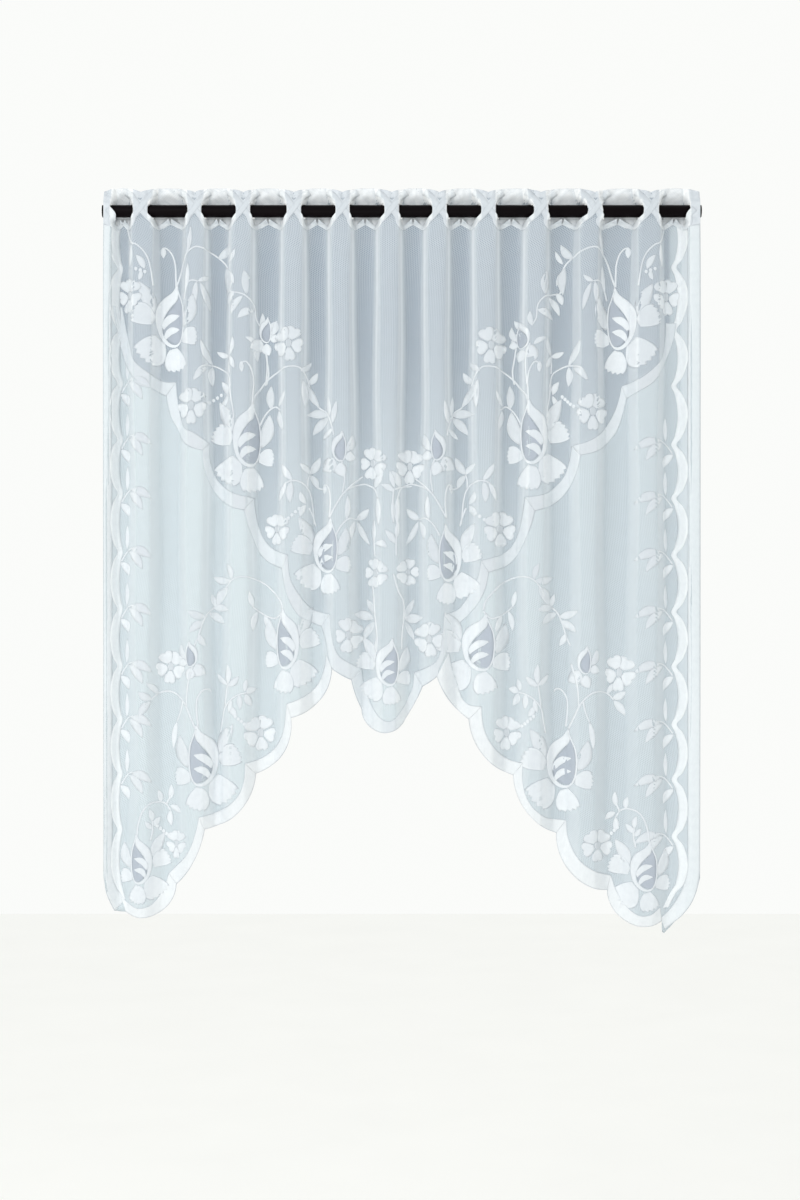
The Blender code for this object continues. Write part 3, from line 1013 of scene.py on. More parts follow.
# %% Lay a copy of a pattern
def lay_motif(kind, root, tip, width, bend=0.0, layer=0, solid=1.0):
    """A copy of a pattern from root to tip, given in steps of the layout."""
    copy = bpy.data.objects.new(kind, patterns[kind].data.copy())
    bpy.context.collection.objects.link(copy)
    points = points_of(copy)
    root = np.array(root, dtype=float)
    way = np.array(tip, dtype=float) - root
    long = math.hypot(way[0], way[1])
    side = np.array([-way[1], way[0]]) / long
    bow = bend * 4.0 * points[:, 2] * (1.0 - points[:, 2])
    offset = points[:, 0] * width + bow
    across = root[0] + points[:, 2] * way[0] + offset * side[0]
    along = root[1] + points[:, 2] * way[1] + offset * side[1]
    share = np.empty(len(points))
    copy.data.attributes["across"].data.foreach_get("value", share)
    return finish_patch(copy, across, along, share, layer, solid)


def spots_round(across, down, wide, tall):
    """A function that gives the place on the layout of a spot counted from a figure's middle."""
    return lambda x, y: (across + wide * x, down + tall * y)


print("a flower 20 wide and 10 tall ends at", spots_round(0, 0, 20, 10)(0.5, 0.5), "from its middle")

# %% [markdown]
# ## Big blossoms
# Each scallop of both bands holds one big blossom: an onion-shaped bud that opens on one side
# and shows two stamens, with six petals round its foot. The opening is knitted more
# openly than the ground, so it looks darker. One blossom is described round its own
# middle, and every copy has its own size, and faces left or right.

# %% Blossoms
BUD_BACK = [(7.4, -34), (3, -27), (-4, -22), (-9.4, -17), (-12.6, -9), (-13.4, -1), (-12.6, 8),
            (-10, 17), (-5, 24.5), (1.7, 28.5), (8, 28), (12, 23.5)]
BUD_FRONT = [(8.6, -34), (9.6, -26), (8.4, -19), (3, -13), (-2.5, -6), (-6, 1), (-7.4, 8),
             (-6.4, 15.5), (-2, 22), (3, 25.6), (8, 25.4), (11, 22)]
BUD_LIP = [(8.2, -30), (11, -22), (14, -13), (15.2, -2), (14.8, 9), (13.6, 17), (11, 24)]
HOLLOW_BACK = [(9.8, -23), (4, -13), (-2, -6), (-5.5, 2), (-6.8, 9), (-5, 17), (2, 24), (9, 25)]
HOLLOW_LIP = [(10.4, -23), (13, -14), (14.6, -6), (15, 2), (14.7, 9), (13.8, 15), (12, 21),
              (10, 24.6)]
# kind, root, tip, width, bend, solid, layer
PETALS = [
    ("leaf", (-14.5, -4), (-29, -35), 14.0, 1.5, 0.80, 1),
    ("petal", (-14.5, 4), (-37, -6), 23.0, 2.0, 0.84, 2),
    ("petal", (-8.5, 21), (-28, 41), 31.0, -3.0, 0.92, 3),
    ("petal", (4.0, 30), (10.5, 53), 23.0, 1.5, 1.0, 4),
    ("petal", (13.5, 20), (31, 20), 19.0, -1.5, 0.90, 5),
    ("leaf", (16.8, 9), (25.5, -23), 14.0, 2.0, 0.74, 6),
]
# middle across, middle down, width share, height share, facing
BLOSSOMS = [
    (168.5, 318.0, 0.98, 1.00, 1), (245.7, 437.8, 0.92, 1.03, 1), (324.3, 548.0, 0.87, 0.87, 1),
    (623.3, 320.3, 0.98, 1.00, -1), (535.4, 435.0, 0.92, 1.04, -1), (451.4, 555.5, 0.80, 0.92, -1),
    (289.1, 641.3, 0.80, 0.98, -1), (204.9, 757.9, 0.99, 0.98, -1), (142.6, 861.0, 0.74, 0.80, -1),
    (477.0, 644.6, 1.12, 0.92, 1), (560.3, 761.7, 1.06, 0.94, 1), (642.4, 868.0, 0.92, 0.80, 1),
    (386.2, 664.0, 0.80, 0.76, 1),
]

# root, tip and width of the two stamens
STAMENS = [((-7, 9), (10.5, -3.5), 8.2), ((-4.5, 19), (10.5, 10.5), 7.6)]
STAMEN_BEND = -3.0

petals = []
buds = []
hollows = []


def lay_bud(spot, rows, bud_count, hollow_count, lip_widths):
    """The onion-shaped bud, the cord along its lip and the hollow between them."""
    back, front, lip, hollow_back, hollow_lip = [
        [spot(*p) for p in line] for line in (BUD_BACK, BUD_FRONT, BUD_LIP, HOLLOW_BACK, HOLLOW_LIP)]
    buds.append(lay_strip(back, front, rows=rows, count=bud_count, layer=8))
    buds.append(lay_cord(lip, *lip_widths, layer=9))
    hollows.append(lay_strip(hollow_back, hollow_lip, rows=rows, count=hollow_count, layer=7))


for across, down, wide, tall, facing in BLOSSOMS:
    spot = spots_round(across, down, facing * wide, tall)
    for kind, root, tip, width, bend, solid, layer in PETALS:
        petals.append(lay_motif(kind, spot(*root), spot(*tip), width * 0.5 * (wide + tall),
                                facing * bend, layer, solid))
    lay_bud(spot, 6, 34, 26, (1.3, 1.7))
    for root, tip, width in STAMENS:
        buds.append(lay_motif("finger", spot(*root), spot(*tip), width * tall,
                              STAMEN_BEND * facing, 10))
print(len(BLOSSOMS), "blossoms with", len(petals), "petals")

# %% [markdown]
# ## Small flowers, half-open buds and beads
# Round five-petalled flowers fill the corners of the scallops, half-open buds hang from the
# stems, and short rows of small dots lead from the leaves to the flowers.

# %% Small flowers
PETAL_COUNT = 5
# middle across, middle down, width, height, turn in degrees
SMALL_FLOWERS = [
    (129.5, 295, 23, 36, 8), (192, 406, 28, 38, 0), (289, 344, 28, 36, -6), (277, 529, 24, 32, 4),
    (349, 635, 26, 36, 14), (260, 733, 30, 36, -8), (176, 844, 18, 30, 0), (170, 667, 28, 34, 6),
    (667, 296, 26, 38, -8), (592, 412, 30, 38, 0), (491, 346, 30, 38, 8), (500, 529, 32, 36, -4),
    (429, 639, 27, 36, -10), (507, 733, 26, 36, 8), (597, 845, 32, 32, 0), (620, 673, 28, 38, 6),
    (373, 463, 25, 33, 16), (410, 466, 26, 36, 4), (376, 573, 22, 30, 20), (408, 572, 22, 28, -20),
]
flowers = []
for across, down, wide, tall, turn in SMALL_FLOWERS:
    for petal in range(PETAL_COUNT):
        angle = math.radians(turn + 36 + 72 * petal)
        way = np.array([math.sin(angle) * 0.5 * wide, -math.cos(angle) * 0.5 * tall])
        middle = np.array([across, down])
        width = 0.38 * (wide * abs(math.cos(angle)) + tall * abs(math.sin(angle)))
        solid = 0.97 if petal % 2 else 0.88
        flowers.append(lay_motif("round_petal", middle + 0.24 * way, middle + 1.02 * way, width,
                                 0.0, 1 + petal, solid))
    flowers.append(lay_motif("oval", (across, down + 0.12 * tall), (across, down - 0.12 * tall),
                             0.20 * wide, 0.0, 7, 0.3))
print(len(SMALL_FLOWERS), "small flowers")

# %% Half-open buds
# middle across, middle down, size, facing
HALF_OPEN = [(264, 330, 0.42, 1), (338.5, 448, 0.50, 1), (439, 447, 0.50, -1), (524, 337, 0.42, -1),
             (583, 661, 0.46, 1), (193, 655, 0.42, -1)]
for across, down, size, facing in HALF_OPEN:
    spot = spots_round(across, down, facing * size, size)
    for kind, root, tip, width, bend, solid, layer in PETALS[2:]:
        petals.append(lay_motif("leaf", spot(*root), spot(1.1 * tip[0], 1.1 * tip[1]),
                                1.1 * width * size, facing * bend, layer, solid))
    lay_bud(spot, 3, 20, 16, (1.2, 1.4))
print(len(HALF_OPEN), "half-open buds")

# %% Beads
BEAD_HALF_HEIGHT = 1.9
BEAD_WIDTH = 3.5
# start, end, count
BEAD_ROWS = [((220.6, 394.5), (208.8, 402.5), 4), ((299.5, 509), (289, 518.5), 4),
             ((236, 716), (248, 726), 5), ((157, 826), (169, 837), 5), ((563, 396), (574, 406), 5),
             ((471, 510), (484, 520), 4), ((533, 716), (522, 726), 5), ((137, 270), (146, 273), 3),
             ((654, 270), (645, 273), 3), ((618, 828), (609, 837), 4)]
beads = []
for start, stop, count in BEAD_ROWS:
    for share in np.linspace(0.0, 1.0, count):
        x = mix(start[0], stop[0], share)
        y = mix(start[1], stop[1], share)
        beads.append(lay_motif("oval", (x, y + BEAD_HALF_HEIGHT), (x, y - BEAD_HALF_HEIGHT),
                               BEAD_WIDTH, 0.0, 2))
print(len(beads), "beads")

# %% [markdown]
# ## Stems, tendrils and leaves
# Stems as fine as a few threads join the blossoms, and leaves grow on them by twos and threes.
# The knitting repeats, so each group is laid out once, on the left, and is copied to the right
# turned about its own middle line. A few groups in the middle are laid out singly.

# %% Groups of stems and leaves
# Each group: middle line of its mirror copy, how far that copy is moved down, stems as lists of
# places, and leaves as root, tip, width, bend, solid.
GROUPS = [
    (791.6, 0, [
        [(175.4, 286), (179.2, 276), (183, 264), (187.9, 254), (193.6, 249), (199.3, 248),
         (208.9, 251.3), (217.5, 256.5), (225.2, 263.7), (229, 273), (230, 284), (231, 292.4),
         (238, 293.6), (245.3, 296.2), (252, 302), (254.8, 308), (256, 319), (260, 326)],
        [(175.2, 286), (174.9, 273.3), (174.2, 262.8), (171.1, 253.2), (166, 247.6), (162, 247),
         (160, 250)],
        [(126, 222), (128.5, 235), (132.4, 243.6), (137.1, 245.5), (143.8, 251.3), (148.6, 259),
         (151.5, 269.4), (153.9, 286.7)],
        [(184, 300), (186.6, 290), (189.3, 283), (193.6, 281.4), (198.9, 282.4)],
        [(187.9, 254), (189.6, 243), (191.5, 228)],
        [(262, 344), (266, 355), (266.5, 368), (265, 385)],
    ], [
        ((198.9, 282.4), (209, 276), 5.0, 1, 0.9), ((197.5, 283), (196.6, 303), 6.0, 1, 0.8),
        ((201, 283.5), (209.6, 311), 6.0, -1, 0.8), ((186, 292), (188.5, 264), 4.5, 1, 1.0),
        ((189, 252), (191.6, 229), 4.8, 0, 1.0), ((228, 263), (235.7, 250), 5.0, 1, 1.0),
        ((217.5, 257.5), (230.4, 243.6), 8.5, 2, 0.62), ((226.1, 266.6), (228, 294), 9.0, -2, 0.62),
        ((230, 271.4), (234.6, 285), 4.5, 0, 1.0), ((247, 295), (244.6, 271), 9.5, 1, 0.62),
        ((234.5, 292), (228.5, 304), 7.0, 1, 0.95), ((243.4, 297), (231.5, 315), 7.0, 2, 0.95),
        ((254.4, 311), (238.2, 319), 8.5, 2, 0.9), ((145.8, 270), (137, 256), 7.0, 1, 0.9),
        ((130, 267), (132, 245), 5.0, 0, 0.95), ((140, 281), (142, 271), 5.0, 1, 0.9),
        ((258.5, 345), (246, 338), 5.5, 1, 0.85), ((258, 347), (257, 361), 6.0, 1, 0.85),
        ((162.5, 246), (162.5, 257), 6.0, 0, 1.0),
        ((260, 327), (262, 312), 5.5, 1, 0.8), ((266, 329), (277, 320), 7.0, 1, 0.7),
        ((267, 334), (280, 341), 7.0, -1, 0.7),
    ]),
    (781.0, 0, [
        [(252.5, 405), (255, 396), (260.3, 388), (268, 378.5), (282.5, 369), (297.5, 367.5),
         (305, 374), (309, 385), (311, 397), (319, 407), (327, 413), (332, 426), (334, 436)],
        [(252.6, 405), (253.4, 392), (253.9, 381), (251.8, 370), (247, 362.6), (242.6, 364),
         (242, 369)],
        [(229.6, 378), (231, 394.4), (233.5, 408.7), (234.4, 419)],
        [(194.6, 380), (198, 371.5), (204, 366.2), (211.8, 365), (220.4, 368.3), (228, 374),
         (231, 386)],
        [(229.5, 373), (229, 364), (229.4, 355)],
        [(259.3, 425), (264.1, 415.4), (269.9, 408.7), (275.6, 406.3), (280.4, 409.7)],
        [(266, 384), (268, 372), (266, 358), (264, 346)],
    ], [
        ((270.8, 408.7), (270.8, 385), 8.5, -1, 0.62), ((278.5, 406), (285.4, 391.5), 4.5, 0, 1.0),
        ((278.8, 410), (283, 430), 6.0, 1, 0.95), ((227.8, 394), (221.4, 381), 7.0, 1, 1.0),
        ((227.8, 395.3), (219.4, 408.5), 5.6, -1, 1.0), ((207, 367), (194.6, 381), 6.2, 1, 0.82),
        ((211.5, 366), (212, 386), 7.0, 1, 0.78), ((211.8, 365), (201.3, 340.5), 6.4, -1, 0.85),
        ((229.5, 355.5), (233.4, 337.5), 5.4, 1, 0.95), ((229.5, 356), (216.2, 351), 6.0, -1, 0.95),
        ((229.8, 356), (235, 369), 5.4, 0, 0.95), ((301, 372), (311, 362), 5.5, 1, 0.8),
        ((308, 384), (317.5, 372), 7.0, 1, 0.75), ((303.5, 380), (305, 408), 7.0, -1, 0.82),
        ((306, 384), (319.2, 407), 7.5, 1, 0.66), ((328.4, 415.6), (306.5, 415), 9.0, 2, 0.62),
        ((328.6, 417.5), (312.5, 434.5), 9.0, 1, 0.66), ((329.8, 416), (328.2, 396.5), 4.5, 0, 1.0),
        ((332.6, 424), (336.8, 401), 5.6, 0, 0.9), ((333, 429), (322.8, 439), 5.0, 0, 1.0),
        ((242, 362), (242.5, 373), 5.0, 0, 1.0),
    ]),
    (775.5, 0, [
        [(329.4, 518), (335.9, 506), (343.6, 494), (352.2, 487.2), (362.7, 484), (368.5, 485),
         (374.8, 489), (378, 498)],
        [(343.6, 494), (353, 484), (362.7, 476)],
        [(329.3, 518), (330.6, 504.4), (329.6, 491), (326.4, 484.8), (323.6, 488), (325, 490.5)],
        [(340.7, 459), (344.4, 469), (344.7, 481), (342.8, 493)],
        [(335.9, 536), (340.7, 527), (346.5, 520.6), (351.2, 518.2), (356.4, 519.6)],
        [(279.4, 500), (282.3, 488.5), (288, 482.6), (294.7, 481), (302.4, 483.3), (308, 489),
         (311.5, 500), (313.9, 524)],
        [(307.7, 488), (308, 480), (309.6, 474)],
        [(317.7, 487.7), (324, 489.5)],
        [(309, 507.5), (312.5, 516), (315.5, 526)],
    ], [
        ((377.8, 497), (378.6, 525), 5.6, 0, 1.0), ((375.2, 488), (383.6, 471), 8.0, -1, 0.9),
        ((346.5, 519.6), (347.6, 496), 6.0, 1, 0.9), ((356, 519.6), (369, 508.5), 8.0, 1, 0.78),
        ((355, 521), (351.5, 539), 5.6, 1, 0.85), ((357, 521), (369.8, 545), 6.0, 1, 0.74),
        ((292.8, 480.8), (282, 464), 7.0, -1, 1.0), ((287, 483.5), (279.7, 501), 5.6, 1, 1.0),
        ((292, 482), (290.6, 503), 8.0, 1, 0.85), ((309.4, 474), (300, 464), 6.0, 1, 1.0),
        ((309.8, 474), (320, 457), 8.5, 1, 0.72), ((310, 475), (318, 488.5), 7.0, -1, 0.66),
        ((306, 504), (300.6, 492), 6.2, -1, 1.0), ((306, 505), (300.5, 517), 6.0, 1, 1.0),
        ((324.5, 484), (324.5, 494), 4.6, 0, 1.0),
    ]),
]


stems = []
leaves = []
STEM_WIDTHS = (1.9, 1.5)


def lay_group(group_stems, group_leaves, spot, facing=1):
    """Lays one group, each place of it moved by the function spot."""
    for i, stem in enumerate(group_stems):
        stems.append(lay_cord([spot(*p) for p in stem], *STEM_WIDTHS, layer=i % 3))
    for i, (root, tip, width, bend, solid) in enumerate(group_leaves):
        leaves.append(lay_motif("leaf", spot(*root), spot(*tip), width, facing * bend, 2 + i % 4,
                                solid))


def lay_both_sides(groups):
    """Lays each group as it is, and once more turned about its middle line."""
    for middle, moved, group_stems, group_leaves in groups:
        lay_group(group_stems, group_leaves, spots_round(0, 0, 1, 1))
        lay_group(group_stems, group_leaves, spots_round(middle, moved, -1, 1), facing=-1)


lay_both_sides(GROUPS)
print(len(stems), "stems and", len(leaves), "leaves in the V")

# %% [markdown]
# The middle of the V has two long stems that hang straight down, and the side panels have
# groups of their own, which the right side repeats. A sprig of four leaves grows
# inwards from every point of the wavy borders.

# %% Middle group
MIDDLE_STEMS = [
    [(374.2, 521), (374, 540), (375, 556)], [(372.3, 583), (374, 600), (374.5, 612), (377, 634),
                                              (376.6, 652)],
    [(394, 489), (393, 500), (393.4, 523)], [(397, 522), (396.2, 545), (396.3, 556)],
    [(393.5, 574), (398, 590), (403.6, 602), (403.6, 619), (402, 634), (401.6, 649)],
    [(394, 490), (402.9, 487), (412, 486)],
]
MIDDLE_LEAVES = [
    ((374, 542), (374.2, 520), 4.4, 0, 1.0), ((375, 543), (387, 547.5), 7.5, -2, 0.9),
    ((393.4, 492), (381.6, 484.6), 6.5, 1, 0.9), ((394.3, 488), (389.8, 471), 5.0, 0, 0.95),
    ((392.8, 499), (393.4, 524), 4.6, 0, 1.0), ((396.5, 538), (398, 521), 5.0, 0, 0.95),
    ((395, 543.5), (385.4, 530.5), 7.0, 1, 0.85), ((373.6, 618.5), (354, 614), 10.0, 1, 0.66),
    ((374.5, 622), (363.5, 640), 8.0, 1, 0.60), ((375.5, 614), (366.6, 599), 6.5, 0, 0.66),
    ((404.2, 618), (414.5, 599), 6.5, 0, 0.66), ((404.2, 618), (423, 617.6), 10.0, 1, 0.70),
    ((405.2, 621.6), (414.6, 640.5), 5.6, 0, 0.62), ((376, 652), (376, 640), 3.2, 0, 1.0),
]
lay_group(MIDDLE_STEMS, MIDDLE_LEAVES, spots_round(0, 0, 1, 1))
print(len(stems), "stems and", len(leaves), "leaves with those in the middle")

# %% Lower groups
LOWER_GROUPS = [
    (766.0, 0, [
        [(282.8, 610), (281, 602), (275, 594), (267, 586), (260, 581.6), (250, 577.5),
         (240, 577), (232, 580.5), (225, 589)],
        [(283, 611), (276, 618), (268, 617), (260, 612.5), (253, 607)],
        [(253, 607), (252, 598)],
        [(225, 590), (217, 604), (208, 613), (203, 624), (199, 637), (195, 646)],
    ], [
        ((231, 580.5), (212.5, 577), 8.0, -2, 0.72), ((232.5, 579), (227.5, 563.5), 6.5, 1, 0.80),
        ((228, 587), (217, 606), 10.0, 2, 0.70), ((253, 607), (249.5, 591), 5.5, 0, 1.0),
        ((257, 611), (253, 631), 6.4, 1, 0.9), ((264, 615.5), (271, 632), 6.4, 0, 0.9),
        ((215, 607), (211, 594), 5.6, 0, 0.85), ((213, 608), (229, 610), 8.0, -1, 0.75),
        ((209, 613), (224, 624), 8.5, -1, 0.72), ((206, 617), (188.5, 611), 8.0, -1, 0.78),
        ((205, 621), (190, 632), 8.0, 1, 0.80), ((200, 634), (206, 646), 6.5, 1, 0.85),
    ]),
    (765.4, 0, [
        [(199, 727), (197.5, 712), (198, 699), (203, 690.5), (208.5, 689), (211, 692)],
        [(196.5, 729), (191, 716), (185.5, 704), (177, 695), (168, 691.5), (158, 693.5),
         (151, 700)],
        [(220, 733), (222.5, 720), (225, 708), (232, 699), (240, 694), (247, 692.5)],
        [(225, 707), (226.5, 694), (228, 684)],
        [(183, 701), (180.5, 712), (176.5, 722)],
        [(194, 664), (190.5, 676), (188, 690), (187, 706)],
    ], [
        ((152, 699), (139, 692), 8.0, -1, 0.75), ((151, 701), (139.5, 716), 8.0, 1, 0.75),
        ((158, 694), (147, 683), 6.0, 1, 0.85), ((176.5, 722), (173, 749), 6.0, 1, 0.95),
        ((228, 684), (228, 664), 6.5, 1, 0.95), ((228, 685), (216.5, 674), 5.5, -1, 0.95),
        ((228.4, 686), (239.5, 676), 6.5, 1, 0.85), ((232, 700), (229, 712), 5.0, 0, 0.95),
        ((232, 706), (237.5, 716), 6.5, 1, 0.95), ((240, 694), (240.5, 709), 6.0, 0, 0.85),
        ((246, 692.8), (256.5, 689), 7.0, -1, 0.85), ((246.5, 693.5), (252, 706), 7.0, 1, 0.85),
        ((245, 691), (247, 679), 5.0, 0, 0.9),
    ]),
    (786.3, 7, [
        [(137.5, 836), (139, 824), (143, 812), (149, 804.5), (157, 802), (165, 804), (170, 811)],
        [(151, 840), (153, 830), (152.4, 820)],
        [(166, 804.5), (170, 796)],
    ], [
        ((169, 800), (170.5, 785), 6.0, 1, 0.9), ((170, 806), (181, 813), 6.5, -1, 0.85),
        ((170, 811), (171, 826), 6.5, 1, 0.9), ((160, 802.5), (158, 790), 5.5, 1, 0.9),
        ((152.4, 821), (150, 809), 5.5, 1, 0.95), ((153, 826), (160, 817), 6.0, 0, 0.95),
        ((152, 829), (146, 821), 5.0, 0, 0.9),
    ]),
]
lay_both_sides(LOWER_GROUPS)
print(len(stems), "stems and", len(leaves), "leaves with the side panels")

# %% Side sprigs, and all figures joined
# root, tip, width, bend, solid, all counted from the point of the border
SPRIG_LEAVES = [((7, -3), (7.4, -27), 4.6, 0.5, 0.95), ((12, -2.5), (33, 6), 9.5, -3.0, 0.80),
                ((10, -1), (24.5, 17), 9.0, -2.0, 0.86), ((1, 10), (9.5, 23.5), 8.5, -2.0, 0.95)]
SPRIG_STEM = [(1.5, 9), (5, 3), (9, -2), (14, -4)]
SPRIG_ROWS = [(383, 444), (439, 498), (493, 555), (552, 612), (609, 667), (666, 725), (720, 780),
              (776, 837)]
SPRIG_WIDTHS = (1.6, 1.3)
for left_down, right_down in SPRIG_ROWS:
    for across, down, facing, wide in ((119.0, left_down, 1, 1.0), (675.5, right_down, -1, 1.26)):
        spot = spots_round(across, down, facing * wide, 1)
        stems.append(lay_cord([spot(*p) for p in SPRIG_STEM], *SPRIG_WIDTHS))
        for i, (root, tip, width, bend, solid) in enumerate(SPRIG_LEAVES):
            leaves.append(lay_motif("leaf", spot(*root), spot(*tip), width, facing * bend, 1 + i,
                                    solid))

for name, patches in (("bud_hollows", hollows), ("leaves", leaves), ("stems", stems),
                      ("petals", petals), ("buds", buds), ("small_flowers", flowers),
                      ("beads", beads)):
    join_lace(name, patches)

# %% [markdown]
# ## Turn the rod
# The rod is a plain steel tube, 20 mm across with a wall of 1 mm, cut square and
# enamelled. A cylinder gives the outside, its rims are bevelled a little, and each
# end face is inset by the wall and pushed in, so the ends show a tube.

# %% Rod
rod_low, rod_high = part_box("rod")
rod_length = rod_high[0] - rod_low[0]
WALL = 0.001
BORE_DEPTH = 0.030
RIM_BEVEL = 0.00025
bpy.ops.object.select_all(action="DESELECT")
bpy.ops.mesh.primitive_cylinder_add(
    vertices=64, radius=ROD_RADIUS, depth=rod_length, end_fill_type="NGON",
    location=(rod_low[0] + 0.5 * rod_length, 0, 0), rotation=(0, math.pi / 2, 0))
rod = bpy.context.object
rod.name = "rod_tube"
bpy.ops.object.transform_apply(location=True, rotation=True, scale=True)
for end in (-1, 1):
    bpy.ops.object.mode_set(mode="EDIT")
    bpy.ops.mesh.select_all(action="DESELECT")
    bpy.ops.object.mode_set(mode="OBJECT")
    for face in rod.data.polygons:
        face.select = face.normal.x * end > 0.9 and len(face.vertices) > 8
    bpy.ops.object.mode_set(mode="EDIT")
    bpy.ops.mesh.select_mode(type="FACE")
    bpy.ops.mesh.inset(thickness=WALL)
    bpy.ops.mesh.extrude_region_move(TRANSFORM_OT_translate={"value": (-end * BORE_DEPTH, 0, 0)})
    bpy.ops.object.mode_set(mode="OBJECT")
apply_modifier(rod, "BEVEL", width=RIM_BEVEL, segments=2, limit_method="ANGLE",
               angle_limit=math.radians(50))
bpy.ops.object.shade_smooth_by_angle(angle=math.radians(35))
print("rod:", round(rod_length, 3), "m long,", len(rod.data.polygons), "faces")

# %% [markdown]
# ## Finish of the net: knitted polyester filament
# Raschel net is knitted from fine bright polyester yarn. Upright chains of loops stand side by
# side, and thinner laid-in yarns cross between them, so most of the cloth is holes. The real
# chains stand about 1.1 mm apart, too fine for the picture, so they are drawn 2.8 mm apart.
# Where the cloth turns away from the eye at a fold, more yarn lies behind each spot of it, so
# it is closer there, and whiter, partly from that yarn and partly as painted light against the
# shade of the flanks. In the valleys it is painted a little darker, as painted shade. The ground
# inside the V is knitted more openly and looks greyer, least so at the point of the V. The
# grey-blue of all the ground is painted shade as well: white yarn in shade, not lit from the front.

# %% Tones of the net
V_SOFTNESS = 0.012
PALER_DOWN = 0.6
RIGHT_PANEL_SHADE = 0.28

v_middle = np.vstack([0.5 * (smooth_line(outer, 8) + smooth_line(inner, 8))
                      for outer, inner in V_BAND])
v_middle = v_middle[np.argsort(v_middle[:, 0])]
v_x, v_z = place(v_middle[:, 0], v_middle[:, 1])
net_x, _, net_z = points_of(net).T
above = net_z - np.interp(net_x, v_x, v_z, left=0.1, right=0.1)
paler = 1.0 - PALER_DOWN * smoothstep((-net_z - 0.15) / 0.45)
# painted shade: the net of the right panel is greyed a little, since the lamps light the left side
# more; it rides in the inside_v tone
right_panel_shade = RIGHT_PANEL_SHADE * smoothstep((net_x - 0.55) / 0.20)
inside_v = smoothstep(0.5 + above / V_SOFTNESS) * paler
set_tone(net, "inside_v", np.maximum(inside_v, right_panel_shade))
print("share of the net inside the V:", round(float(np.mean(above > 0)), 2))

# %% [markdown]
# Both kinds of knitting are drawn by one pattern: a brick pattern that is turned upright, so
# its rows are the chains of loops and its bricks the loops. It reads the cloth's own place in
# millimetres, so each pitch below is a real length.

# %% Knitting pattern
def new_material(name):
    material = bpy.data.materials.new(name)
    material.use_nodes = True
    material.node_tree.nodes.remove(material.node_tree.nodes["Principled BSDF"])
    return material, material.node_tree, material.node_tree.nodes["Material Output"]


def knitting(tree, yarn, softness, loop, chain):
    """The cloth's own place in millimetres, and the yarn between its loops."""
    cloth = add_node(tree, "ShaderNodeUVMap", uv_map="cloth")
    scaled = add_node(tree, "ShaderNodeVectorMath", {0: cloth.outputs["UV"], "Scale": 1000.0},
                      operation="SCALE").outputs["Vector"]
    turned = add_node(tree, "ShaderNodeMapping", {"Vector": scaled, "Rotation": (0, 0, math.pi / 2)})
    knit = add_node(tree, "ShaderNodeTexBrick",
                    {"Vector": turned.outputs["Vector"], "Scale": 1.0, "Mortar Size": yarn,
                     "Mortar Smooth": softness, "Brick Width": loop, "Row Height": chain},
                    offset=0.5)
    return scaled, knit.outputs["Fac"]


print("the pattern is ready, in millimetres")

# %% Net material
CHAIN_PITCH = 2.8
COURSE_PITCH = 3.4
NET_YARN = 0.42
YARN_LIGHT = 0.35
FLANK_LIGHT = 0.50
RIDGE_LIGHT = 0.86
HOLE_COVER = 0.66
YARN_COVER = 0.86
FOLD_COVER = 0.95

net_finish, tree, output = new_material("raschel_net_polyester_filament")
cloth, knit = knitting(tree, NET_YARN, 0.6, COURSE_PITCH, CHAIN_PITCH)
valley, in_v, steep, ridge = [
    add_node(tree, "ShaderNodeAttribute", attribute_name=name).outputs["Fac"]
    for name in ("valley", "inside_v", "steep", "ridge")]
cloud = add_node(tree, "ShaderNodeTexNoise", {"Vector": cloth, "Scale": 0.035, "Detail": 3.0})
# painted shade: the grey-blue ground colours stand for white yarn in shade, and the second colour of
# each pair, used in the valleys, is darker painted shade of the folds
inner = add_node(tree, "ShaderNodeMix", {0: valley, 6: colour("#a9b4bf"), 7: colour("#919fad")},
                 data_type="RGBA")
outer = add_node(tree, "ShaderNodeMix", {0: valley, 6: colour("#cad6db"), 7: colour("#c2ced5")},
                 data_type="RGBA")
# the inside_v tone also holds the painted shade of the right panel
ground = add_node(tree, "ShaderNodeMix", {0: in_v, 6: outer.outputs[2], 7: inner.outputs[2]},
                  data_type="RGBA")
yarn_share = add_node(tree, "ShaderNodeMath", {0: knit, 1: YARN_LIGHT}, operation="MULTIPLY")
yarn = add_node(tree, "ShaderNodeMix", {0: yarn_share.outputs["Value"], 6: ground.outputs[2],
                                        7: colour("#dfe6eb")}, data_type="RGBA")
# painted light: flanks and fold lines are painted whiter against their shade, partly standing for the
# denser yarn there
on_flank = add_node(tree, "ShaderNodeMapRange", {"Value": steep, "From Min": 0.1, "From Max": 0.6,
                                                 "To Max": FLANK_LIGHT})
on_ridge = add_node(tree, "ShaderNodeMath", {0: ridge, 1: RIDGE_LIGHT}, operation="MULTIPLY")
lit = add_node(tree, "ShaderNodeMath", {0: on_flank.outputs["Result"],
                                        1: on_ridge.outputs["Value"]}, operation="MAXIMUM")
shade = add_node(tree, "ShaderNodeMix", {0: lit.outputs["Value"], 6: yarn.outputs[2],
                                         7: colour("#f2f7fa")}, data_type="RGBA")
cover = add_node(tree, "ShaderNodeMapRange", {"Value": knit, "To Min": HOLE_COVER,
                                              "To Max": YARN_COVER})
uneven = add_node(tree, "ShaderNodeMath", {0: cloud.outputs["Fac"], 1: 0.16, 2: -0.08},
                  operation="MULTIPLY_ADD")
cover = add_node(tree, "ShaderNodeMath", {0: cover.outputs["Result"], 1: uneven.outputs["Value"]},
                 operation="ADD", use_clamp=True)
cover = add_node(tree, "ShaderNodeMix", {0: lit.outputs["Value"], 2: cover.outputs["Value"],
                                         3: FOLD_COVER})
relief = add_node(tree, "ShaderNodeBump", {"Height": knit, "Strength": 0.35, "Distance": 0.0003})
